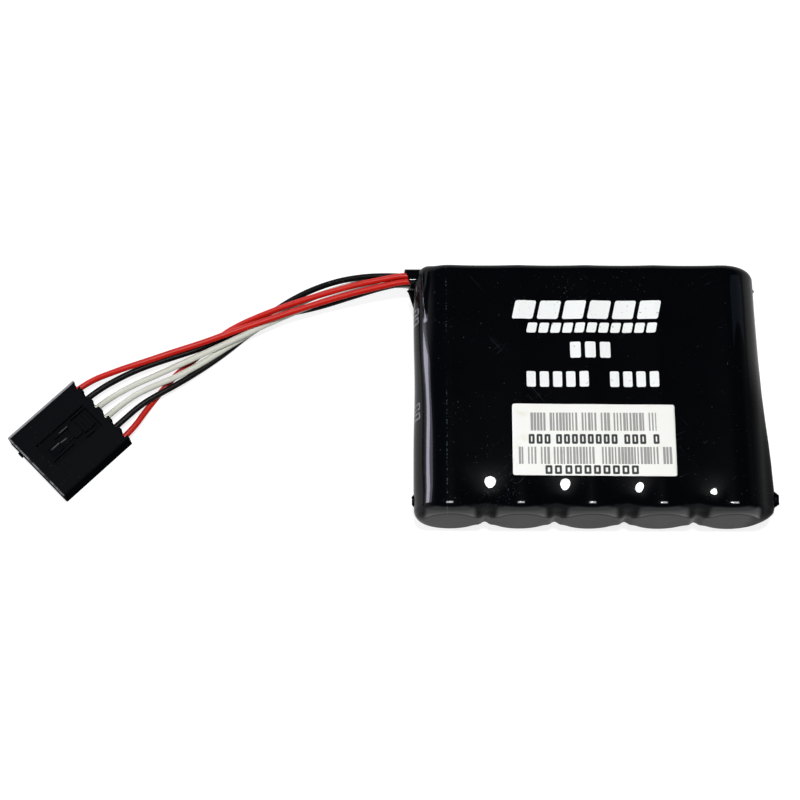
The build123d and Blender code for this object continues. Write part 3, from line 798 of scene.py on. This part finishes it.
# %% Label sheet
def make_label():
    """Rows across a rounded rectangle: near the corners each row is as short as the arc there."""
    half_width, half_height, corner = 14.0 * mm, 6.45 * mm, 0.4 * mm
    middle_x, middle_y = 0.4 * mm, film_front + 12.8 * mm
    v = np.linspace(-1, 1, 41)[:, None] * half_height
    v = np.sign(v) * half_height * np.sin(np.abs(v) / half_height * np.pi / 2)
    u = np.linspace(-1, 1, 97)[None, :]
    over = np.clip(np.abs(v) - (half_height - corner), 0, None)
    half = half_width - corner + np.sqrt(np.clip(corner**2 - over**2, 0, None))
    x, y = u * half, v + 0 * u
    turn = math.radians(-0.35)
    place_x = middle_x + x * math.cos(turn) - y * math.sin(turn)
    place_y = middle_y + x * math.sin(turn) + y * math.cos(turn)
    sag = 0.5 - 0.5 * np.cos(2 * np.pi * place_x / (2 * half_pitch))
    z = crest_z + 0.086 * mm - 0.07 * mm * sag
    points = np.stack([place_x, place_y, z], axis=-1)
    piece = surface_piece("paper_label", points, grid_faces(41, 97, closed=False))
    add_wall(piece, 0.08 * mm)
    return piece


paper_white = (0.85, 0.85, 0.81)


def make_label_finish():
    """White paper with dark bars and open boxes, a few stains and dust.

    Heights on the label are counted down from its upper edge, in millimetres.
    """
    material, tree, shader, place = new_finish("label_paper", paper_white, 0.38, specular_ior_level=0.3)
    x, y, _ = axes_of(tree, place)
    top = -3.8
    bar_step = 0.55 * mm

    def bars(left, right, low, high, seed):
        """Bars by chance inside one long block, in place of a bar code."""
        length = right - left
        box = block_row(tree, x, y, left, top + low, top + high, length, 1, 1.0, 0.02)
        code = place_group(tree, bar_group, {"X": x, "Step": bar_step, "Seed": seed})[0]
        return sum_of(tree, "MULTIPLY", box, code)

    lines = [bars(-10.6, 11.2, -4.8, -1.5, 3.0), bars(-12.6, 13.7, -10.8, -7.7, 41.0)]
    # each line's low and high edge, its step and filled share, and each word's left edge and count
    for low, high, step, filled, words in (
        (-7.2, -5.4, 1.36, 0.78, ((-11.0, 3), (-6.3, 8), (5.4, 3), (10.4, 1))),
        (-12.6, -11.0, 1.62, 0.76, ((-8.3, 2), (-4.9, 8))),
    ):
        for left, count in words:
            lines.append(box_row(tree, x, y, left, top + low, top + high, step, count, filled))
    ink = brightest(tree, lines)
    stain = ramp(tree, noise(tree, place, 320.0, 4.0), 0.52, 0.72)
    left_edge = ramp(tree, x, -9 * mm, -13.5 * mm)
    stain = sum_of(tree, "MULTIPLY", stain, sum_of(tree, "MULTIPLY_ADD", left_edge, 0.5, 0.15))
    paper = blend_colour(tree, stain, (*paper_white, 1), (0.70, 0.67, 0.50, 1))
    dust = dust_on(tree, place, 2200.0, 0.2)
    paper = blend_colour(tree, sum_of(tree, "MULTIPLY", dust, 0.5), paper, (0.3, 0.28, 0.24, 1))
    worn = ramp(tree, noise(tree, place, 3200.0, 2.0), 0.12, 0.26)
    inked = blend_colour(tree, sum_of(tree, "MULTIPLY", ink, worn), paper, (0.02, 0.02, 0.022, 1))
    tree.links.new(inked, shader.inputs["Base Color"])
    add_bump(tree, shader, noise(tree, place, 2400.0, 3.0), 0.006 * mm)
    return material


label = make_label()
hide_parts("barcode_label")
label_finish = make_label_finish()
dress(label, label_finish)

# %% [markdown]
# ## The six wires
# Each wire is a cord of known length between its pad in the pack and its terminal in the
# plug. A smooth spline through the same control points as the solid gives the easy curves
# of thin stranded wire. They cross twice: the two reds end up on top.

# %% Routes of the wires
# Each point is counted from the mouth of the spout, with its height from the table.
wire_routes = {
    "red_1": [
        (-51.4, -16.2, 3.3), (-46.6, -14.6, 3.5), (-41.9, -12.8, 3.4), (-36.9, -11.1, 3.4),
        (-32.0, -9.2, 3.6), (-26.9, -7.4, 3.9), (-21.2, -5.55, 4.4), (-15.4, -3.85, 5.2),
        (-9.6, -2.4, 6.1), (-4.3, -1.4, 7.0), (-0.2, -0.7, 7.6), (4.2, -1.3, 8.3),
        (9.2, -2.7, 9.6),
    ],
    "black_1": [
        (-50.8, -17.1, 2.5), (-46.8, -15.2, 2.4), (-42.0, -13.4, 2.2), (-37.4, -11.7, 2.0),
        (-33.5, -9.9, 1.8), (-29.6, -8.0, 1.5), (-25.9, -5.3, 1.3), (-21.7, -2.5, 2.1),
        (-17.3, -0.6, 3.3), (-12.5, 0.6, 4.6), (-7.8, 1.0, 5.6), (-3.8, 0.9, 6.2),
        (-0.2, 0.7, 6.4), (4.2, -0.1, 5.8), (9.2, -2.5, 5.3),
    ],
    "white_1": [
        (-49.6, -19.1, 2.3), (-45.2, -17.0, 2.3), (-40.8, -14.9, 2.5), (-36.4, -12.8, 2.8),
        (-32.0, -10.7, 3.0), (-27.3, -8.2, 3.0), (-22.6, -5.9, 2.9), (-17.2, -3.6, 3.3),
        (-11.2, -1.9, 4.3), (-5.3, -0.5, 4.9), (-0.2, -0.3, 5.2), (4.2, -1.3, 4.7),
        (9.2, -2.8, 3.9),
    ],
    "white_2": [
        (-49.0, -20.8, 2.2), (-45.2, -18.8, 2.1), (-41.3, -17.1, 2.1), (-37.3, -14.7, 2.0),
        (-33.1, -11.7, 1.8), (-28.5, -8.6, 1.8), (-23.1, -4.6, 2.0), (-17.3, -1.9, 2.8),
        (-11.1, -0.1, 3.9), (-5.3, 0.7, 4.9), (-0.2, 0.9, 5.2), (4.2, 0.0, 4.4),
        (9.2, -2.4, 2.6),
    ],
    "black_2": [
        (-47.4, -22.3, 2.0), (-44.3, -20.3, 1.9), (-40.8, -18.1, 1.6), (-36.6, -15.0, 1.0),
        (-32.4, -11.6, 0.7), (-28.2, -7.7, 0.6), (-22.7, -4.5, 0.9), (-16.7, -3.8, 2.2),
        (-10.7, -2.6, 4.2), (-4.9, -1.3, 5.8), (-0.2, -0.5, 6.4), (4.2, -1.3, 6.4),
        (9.2, -2.7, 6.8),
    ],
    "red_2": [
        (-46.7, -23.2, 1.1), (-44.4, -19.7, 0.6), (-41.4, -15.8, 0.6), (-37.5, -12.5, 0.7),
        (-33.7, -8.6, 0.9), (-30.2, -6.8, 1.8), (-26.3, -5.5, 3.0), (-21.2, -3.85, 4.1),
        (-15.4, -2.35, 5.2), (-9.6, -1.0, 6.3), (-4.3, -0.15, 7.1), (-0.2, 0.5, 7.6),
        (4.2, -0.2, 7.2), (9.2, -2.5, 8.0),
    ],
}
pad_heights = dict(zip(wire_routes, (10.0, 5.2, 3.6, 2.0, 6.8, 8.4)))
wire_diameter = 1.1 * mm
pin_pitch = 2.54 * mm
wire_seat = 4.6 * mm
wire_straight = 9.0 * mm
wire_height_in_plug = 2.1 * mm
pad_lift = 1.11 * mm
plug_turn = math.radians(44.9)
plug_middle = exit_mouth + Vector((-59.8, -29.24, 0)) * mm
plug_half_length = 7.7 * mm
plug_half_width = 7.55 * mm
plug_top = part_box("connector_housing")[1].z
pad_x = cell_x[0] + 5.74 * mm
pad_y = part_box("balance_board")[1].y + pad_lift


def in_plug(along, across, height):
    """A point of the plug's own frame, along the wires and across them, in the part's frame."""
    turned = Vector((math.cos(plug_turn), math.sin(plug_turn), 0)) * along
    turned += Vector((-math.sin(plug_turn), math.cos(plug_turn), 0)) * across
    return plug_middle + turned + Vector((0, 0, height))


# %% [markdown]
# The plug comes first, because each wire names it as its far end. Its solid has sharp
# edges. A copy with its points joined and a hair-thin bevel catches light along the edges, as a
# moulded part does. It is black nylon with a fine matt grain, with painted highlights in its
# colour along its far upper edge, its mating edge and the latch.


# %% Moulded plastic finish
def make_grain_group():
    """A fine even grain with a slower unevenness, as moulded plastic has."""
    inputs = [("Place", "Vector", None), ("Scale", "Float", 4000.0)]
    group, start, end = new_group("moulded_grain", inputs, [("Height", "Float"), ("Uneven", "Float")])
    fine = noise(group, start.outputs["Place"], start.outputs["Scale"], 3.0, 0.6)
    slow = noise(group, start.outputs["Place"], 350.0, 2.0)
    group.links.new(fine, end.inputs["Height"])
    group.links.new(slow, end.inputs["Uneven"])
    return group


grain_group = make_grain_group()


def make_plastic_finish(name, colour, pale, roughness, grain_scale, grain_depth, painted_highlights=None):
    """Moulded plastic: grain in the light, uneven gloss, a little dust and, where given, painted
    highlights.
    """
    material, tree, shader, place = new_finish(name, colour, roughness)
    height, slow = place_group(tree, grain_group, {"Place": place, "Scale": grain_scale})
    dust = dust_on(tree, place, 3000.0, 0.3)
    base = blend_colour(tree, sum_of(tree, "MULTIPLY", dust, 0.35), (*colour, 1), (*pale, 1))
    if painted_highlights:
        # painted highlights: a pale colour along the edges and latch lines, in place of light caught there
        base = blend_colour(tree, painted_highlights(tree, place), base, (0.24, 0.24, 0.25, 1))
    tree.links.new(base, shader.inputs["Base Color"])
    uneven = sum_of(tree, "MULTIPLY_ADD", slow, 0.2, roughness - 0.1)
    tree.links.new(uneven, shader.inputs["Roughness"])
    add_bump(tree, shader, height, grain_depth)
    return material


def plug_place(tree, place):
    """The place in the plug's own frame: x along the wires, y across them and z up."""
    values = {"Vector": place, "Location": plug_middle, "Rotation": (0, 0, plug_turn)}
    return axes_of(tree, add_node(tree, "ShaderNodeMapping", values, vector_type="TEXTURE").outputs[0])


def thin_line(tree, x, y, start, end, slope):
    """A line about 0.2 mm wide: its start is an x and a y, its end an x, and slope tilts it."""
    along = sum_of(tree, "SUBTRACT", x, start[0] * mm)
    middle = sum_of(tree, "MULTIPLY_ADD", along, slope, start[1] * mm)
    narrow = ramp(tree, distance_from(tree, y, middle), 0.14 * mm, 0.05 * mm)
    first = ramp(tree, along, 0, 0.4 * mm)
    last = ramp(tree, along, (end - start[0]) * mm, (end - start[0] - 0.4) * mm)
    return product_of(tree, narrow, first, last)


def plug_edge_highlights(tree, place):
    """Painted highlights on the plug: its far upper edge, its mating edge and the latch.

    Each edge strip is a soft step in one direction times the top's height, and the latch has
    two thin lines along its sides.
    """
    x, y, z = plug_place(tree, place)
    long_edge = ramp(tree, y, plug_half_width - 0.66 * mm, plug_half_width - 0.52 * mm)
    mating_edge = ramp(tree, x, 0.30 * mm - plug_half_length, 0.10 * mm - plug_half_length)
    high = ramp(tree, z, plug_top - 0.62 * mm, plug_top - 0.5 * mm)
    patchy = ramp(tree, noise(tree, place, 900.0, 3.0), 0.30, 0.62)
    latch_lines = [
        thin_line(tree, x, y, (-0.8, 1.62), 2.2, 0.0),
        thin_line(tree, x, y, (-5.0, 0.58), -0.1, -0.1),
    ]
    latch = sum_of(tree, "MULTIPLY", brightest(tree, latch_lines), 0.32)
    strips = brightest(tree, [long_edge, sum_of(tree, "MULTIPLY", mating_edge, patchy), latch])
    return sum_of(tree, "MULTIPLY", strips, high)


def make_plug_finish():
    """Black nylon with a thin waxy coat, which its near right side has lost."""
    black, pale = (0.0032, 0.0036, 0.0046), (0.03, 0.03, 0.034)
    material = make_plastic_finish("plug_nylon", black, pale, 0.35, 5200.0, 0.006 * mm, plug_edge_highlights)
    tree = material.node_tree
    shader = tree.nodes["Principled BSDF"]
    shader.inputs["Specular IOR Level"].default_value = 0.0
    shader.inputs["Coat Roughness"].default_value = 0.3
    x, y, z = plug_place(tree, add_node(tree, "ShaderNodeTexCoord").outputs["Object"])
    kept = ramp(tree, y, 0.03 * mm - plug_half_width, 0.25 * mm - plug_half_width)
    tree.links.new(sum_of(tree, "MULTIPLY", kept, 0.09), shader.inputs["Coat Weight"])
    return material


housing_finish = make_plug_finish()


# %% Plug with softened edges
def make_plug():
    """A copy of the housing's solid, joined at its points, flat where it is flat, and bevelled."""
    mesh = nodes["connector_housing"].data.copy()
    mesh.name = "plug_housing"
    work = bmesh.new()
    work.from_mesh(mesh)
    bmesh.ops.remove_doubles(work, verts=work.verts, dist=0.001 * mm)
    bmesh.ops.dissolve_limit(work, angle_limit=math.radians(1), verts=work.verts, edges=work.edges)
    work.to_mesh(mesh)
    work.free()
    piece = link_piece("plug_housing", mesh)
    bevel = piece.modifiers.new("soft_edges", "BEVEL")
    bevel.width = 0.07 * mm
    bevel.segments = 2
    bevel.limit_method = "ANGLE"
    bevel.angle_limit = math.radians(30)
    bevel.harden_normals = True
    print("plug", len(mesh.polygons), "faces before its bevel")
    return piece


plug = make_plug()
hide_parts("connector_housing")
dress(plug, housing_finish)


# %% Wire finishes
def make_wire_finish(name, colour, shade, coat):
    """Soft plastic insulation: slow changes of tint, a few specks and a waxy line of light.

    The wax shows on the side that faces up: its weight is a soft step of the cosine between
    the surface's normal and a direction a little behind the vertical.
    """
    gloss = {"specular_ior_level": 0.08, "coat_roughness": 0.5}
    material, tree, shader, place = new_finish(name, colour, 0.4, **gloss)
    slow = noise(tree, place, 260.0, 2.0)
    dust = dust_on(tree, place, 2400.0, 0.22)
    base = blend_colour(tree, sum_of(tree, "MULTIPLY", slow, 0.5), (*colour, 1), (*shade, 1))
    pale = [0.6 * value + 0.3 for value in colour]
    base = blend_colour(tree, sum_of(tree, "MULTIPLY", dust, 0.25), base, (*pale, 1))
    tree.links.new(base, shader.inputs["Base Color"])
    facing = {0: add_node(tree, "ShaderNodeNewGeometry").outputs["Normal"], 1: (0, 0.2, 0.98)}
    cosine = add_node(tree, "ShaderNodeVectorMath", facing, operation="DOT_PRODUCT")
    waxy = ramp(tree, cosine.outputs["Value"], 0.70, 0.95)
    tree.links.new(sum_of(tree, "MULTIPLY", waxy, coat), shader.inputs["Coat Weight"])
    add_bump(tree, shader, noise(tree, place, 900.0, 2.0), 0.010 * mm)
    return material


wire_finishes = {
    "red": make_wire_finish("wire_red", (0.56, 0.010, 0.004), (0.40, 0.006, 0.003), 0.75),
    "black": make_wire_finish("wire_black", (0.0016, 0.0015, 0.0018), (0.003, 0.003, 0.003), 0.16),
    "white": make_wire_finish("wire_white", (0.66, 0.67, 0.59), (0.54, 0.55, 0.47), 0.3),
}


# %% Wires
def make_wire(name, number):
    """A spline of order 3 through the route, from the plug to the pad, with a round bevel.

    The bevel is one unit deep and each point scales it to the wire's own radius.
    """
    across = pin_pitch * (2.5 - number)
    points = [in_plug(along, across, wire_height_in_plug) for along in (wire_seat, wire_straight)]
    points += [exit_mouth + Vector(point) * mm for point in wire_routes[name]]
    points.append(Vector((pad_x, pad_y, pad_heights[name] * mm)))
    data = bpy.data.curves.new("wire_" + name, "CURVE")
    data.dimensions = "3D"
    data.resolution_u = 8
    data.bevel_depth = 1.0
    data.bevel_resolution = 6
    data.use_fill_caps = True
    spline = data.splines.new("NURBS")
    spline.points.add(len(points) - 1)
    for control, point in zip(spline.points, points):
        control.co = (*point, 1)
        control.radius = wire_diameter / 2
    spline.order_u = 3
    spline.use_endpoint_u = True
    colour = name.split("_")[0]
    wire = link_piece("cord_" + name, data)
    wire.data.materials.append(wire_finishes[colour])
    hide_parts("wire_" + name)
    return wire


wires = [make_wire(name, number) for number, name in enumerate(wire_routes)]

# %% [markdown]
# ## Finishes of the inner pieces
# The film hides the cells and the board, but the rear opening and a scene that takes the
# pack apart show them, so each has its own finish: drawn aluminium, printed cell sleeves,
# rubber, grey card, green board, solder and tinned metal.


# %% Metals
def make_metal_finish(name, colour, roughness, stretch, depth):
    """Metal whose grain is stretched along one direction by its drawing or rolling."""
    material, tree, shader, place = new_finish(name, colour, roughness, metallic=1.0)
    values = {"Vector": place, "Scale": stretch}
    drawn = add_node(tree, "ShaderNodeMapping", values).outputs[0]
    lines = noise(tree, drawn, 900.0, 3.0)
    shade = tuple(0.72 * value for value in colour)
    tree.links.new(blend_colour(tree, lines, (*colour, 1), (*shade, 1)), shader.inputs["Base Color"])
    tree.links.new(sum_of(tree, "MULTIPLY_ADD", lines, 0.3, roughness - 0.15), shader.inputs["Roughness"])
    add_bump(tree, shader, lines, depth)
    return material


can_finish = make_metal_finish("drawn_aluminium", (0.78, 0.79, 0.80), 0.32, (1, 0.08, 1), 0.01 * mm)
tinned_finish = make_metal_finish("tinned_steel", (0.70, 0.70, 0.68), 0.30, (1, 0.2, 1), 0.008 * mm)
solder_finish = make_metal_finish("solder", (0.66, 0.67, 0.69), 0.34, (1, 1, 1), 0.03 * mm)
bronze_finish = make_metal_finish("tinned_bronze", (0.74, 0.66, 0.48), 0.30, (0.3, 1, 1), 0.006 * mm)
copper_finish = make_metal_finish("stranded_copper", (0.80, 0.46, 0.30), 0.34, (1, 1, 1), 0.03 * mm)


# %% Rubber, card, board and chips
def make_board_finish():
    """Green lacquer over tracks: a fine grid of paler lines, with a smooth gloss."""
    material, tree, shader, place = new_finish("board_lacquer", (0.012, 0.10, 0.035), 0.3, coat_weight=0.5)
    x, y, z = axes_of(tree, place)
    tracks = [
        place_group(tree, bar_group, {"X": axis, "Step": step * mm, "Seed": seed})[0]
        for axis, step, seed in ((x, 1.7, 5.0), (z, 1.9, 8.0))
    ]
    patches = ramp(tree, noise(tree, place, 300.0, 1.0), 0.45, 0.5)
    paths = sum_of(tree, "MULTIPLY", brightest(tree, tracks), patches)
    base = blend_colour(tree, paths, (0.010, 0.085, 0.03, 1), (0.02, 0.16, 0.06, 1))
    tree.links.new(base, shader.inputs["Base Color"])
    add_bump(tree, shader, paths, 0.02 * mm)
    return material


# name, colour, paler colour, roughness, and the grain's scale and depth
inner_plastics = {}
for name, *values in (
    ("bung_rubber", (0.018, 0.018, 0.018), (0.07, 0.07, 0.07), 0.75, 2600.0, 0.02 * mm),
    ("grey_card", (0.30, 0.30, 0.28), (0.42, 0.42, 0.40), 0.8, 1700.0, 0.02 * mm),
    ("cell_sleeve_film", (0.02, 0.03, 0.08), (0.2, 0.2, 0.24), 0.3, 1400.0, 0.006 * mm),
    ("chip_epoxy", (0.014, 0.014, 0.015), (0.08, 0.08, 0.08), 0.55, 4200.0, 0.012 * mm),
):
    inner_plastics[name] = make_plastic_finish(name, *values)
board_finish = make_board_finish()

for i in range(1, 6):
    dress(f"capacitor_can_{i}", can_finish)
    dress(f"can_sleeve_{i}", inner_plastics["cell_sleeve_film"])
    dress(f"rubber_bung_{i}", inner_plastics["bung_rubber"])
    dress(f"cell_leads_{i}", tinned_finish)
for i in range(1, 7):
    dress(f"crimp_terminal_{i}", bronze_finish)
for name in ("lead_card", "rear_card"):
    dress(name, inner_plastics["grey_card"])
for name in ("balance_resistors", "shunt_regulators", "memory_chip"):
    dress(name, inner_plastics["chip_epoxy"])
for name in ("lead_solder", "wire_solder"):
    dress(name, solder_finish)
dress("balance_board", board_finish)
dress("chip_pins", tinned_finish)
dress("stripped_strands", copper_finish)
print("finishes", len(bpy.data.materials))

# %% [markdown]
# ## Table and light
# The photograph's ground is pure white. The floor is a grey matt sheet that also glows for
# rays that come from the camera, straight or by way of a mirror-like surface, so it reads as
# white and still holds the shadow. One small round lamp hangs nearly overhead, and the
# film's valleys mirror it as round white dots. A pale strip low on the left draws the long
# streak on the left shoulder, and a taller, dimmer one behind it softens the streak's sides.
# A bluish panel on the right gives the rear of the right shoulder its glow. The sky is
# bright near the horizon and dark overhead, so the film's top stays black.


# %% Floor
def make_floor():
    """A square sheet, 6 m wide, whose glow is seen by the camera and in mirrors only."""
    half = 3.0
    mesh = bpy.data.meshes.new("table")
    corners = [(-half, -half, 0), (half, -half, 0), (half, half, 0), (-half, half, 0)]
    mesh.from_pydata(corners, [], [(0, 1, 2, 3)])
    floor = bpy.data.objects.new("table", mesh)
    bpy.context.scene.collection.objects.link(floor)
    material = bpy.data.materials.new("white_table")
    material.use_nodes = True
    tree = material.node_tree
    tree.nodes.clear()
    diffuse = add_node(tree, "ShaderNodeBsdfDiffuse", {"Color": (0.36, 0.36, 0.36, 1)})
    path = add_node(tree, "ShaderNodeLightPath")
    seen = sum_of(tree, "MAXIMUM", path.outputs["Is Camera Ray"], path.outputs["Is Transmission Ray"])
    seen = sum_of(tree, "MAXIMUM", seen, path.outputs["Is Glossy Ray"])
    glow = add_node(tree, "ShaderNodeEmission", {"Strength": sum_of(tree, "MULTIPLY", seen, 0.82)})
    both = add_node(tree, "ShaderNodeAddShader", {0: diffuse.outputs[0], 1: glow.outputs[0]})
    add_node(tree, "ShaderNodeOutputMaterial", {"Surface": both.outputs[0]})
    mesh.materials.append(material)
    return floor


floor = make_floor()


# %% Lamps
def add_area_light(name, place, target, size, watts, colour, round_shape=False):
    """A flat light that faces its target; a round one takes its size as its diameter."""
    data = bpy.data.lights.new(name, "AREA")
    data.shape = "DISK" if round_shape else "RECTANGLE"
    data.size = size[0]
    if not round_shape:
        data.size_y = size[1]
    data.energy = watts
    data.color = colour
    light = bpy.data.objects.new(name, data)
    light.location = place
    aim = Vector(target) - Vector(place)
    light.rotation_euler = aim.to_track_quat("-Z", "Y").to_euler()
    bpy.context.scene.collection.objects.link(light)
    return light


# name, place, target, size, watts, colour, and whether it is round
lamps = (
    ("overhead_lamp", (-0.020, -0.013, 0.590), (-0.020, -0.013, 0), (0.080,), 2.7, (1, 1, 1), True),
    ("left_strip", (-0.62, 0.205, 0.125), (-0.03, 0, 0.006), (0.10, 0.15), 1.2, (0.86, 0.82, 1), False),
    ("left_haze", (-0.63, 0.205, 0.125), (-0.03, 0, 0.006), (0.12, 0.34), 0.8, (0.80, 0.80, 1), False),
    ("right_glow", (0.49, 0.262, 0.37), (0.028, 0.262, 0.01), (0.035, 0.43), 0.030, (0.5, 0.75, 1), False),
)
for lamp in lamps:
    add_area_light(*lamp)
print("lamps", [lamp[0] for lamp in lamps])


# %% Sky
def make_sky():
    """Bright low down behind and to the left, dim to the right, and dark overhead.

    In front it is bright up to a greater height, which lights the rims of the cell ends.
    Close to the horizon it is white all round, as a backdrop.
    """
    world = bpy.data.worlds.new("studio")
    world.use_nodes = True
    tree = world.node_tree
    tree.nodes.clear()
    direction = add_node(tree, "ShaderNodeTexCoord").outputs["Generated"]
    x, y, z = axes_of(tree, direction)
    toward = sum_of(tree, "MULTIPLY_ADD", y, 0.38, sum_of(tree, "MULTIPLY_ADD", x, -0.38, 0.55))
    low = sum_of(tree, "MULTIPLY", ramp(tree, z, 0.62, 0.18), toward)
    backdrop = ramp(tree, z, 0.14, 0.07)
    ahead = product_of(tree, ramp(tree, y, 0.0, -0.75), ramp(tree, z, 0.78, 0.42), 0.85)
    level = brightest(tree, [sum_of(tree, "MULTIPLY_ADD", low, 0.95, 0.04), ahead, backdrop])
    sky = add_node(tree, "ShaderNodeBackground", {"Color": (0.96, 0.98, 1, 1), "Strength": level})
    add_node(tree, "ShaderNodeOutputWorld", {"Surface": sky.outputs[0]})
    bpy.context.scene.world = world


make_sky()
bpy.context.scene.view_settings.view_transform = "Standard"
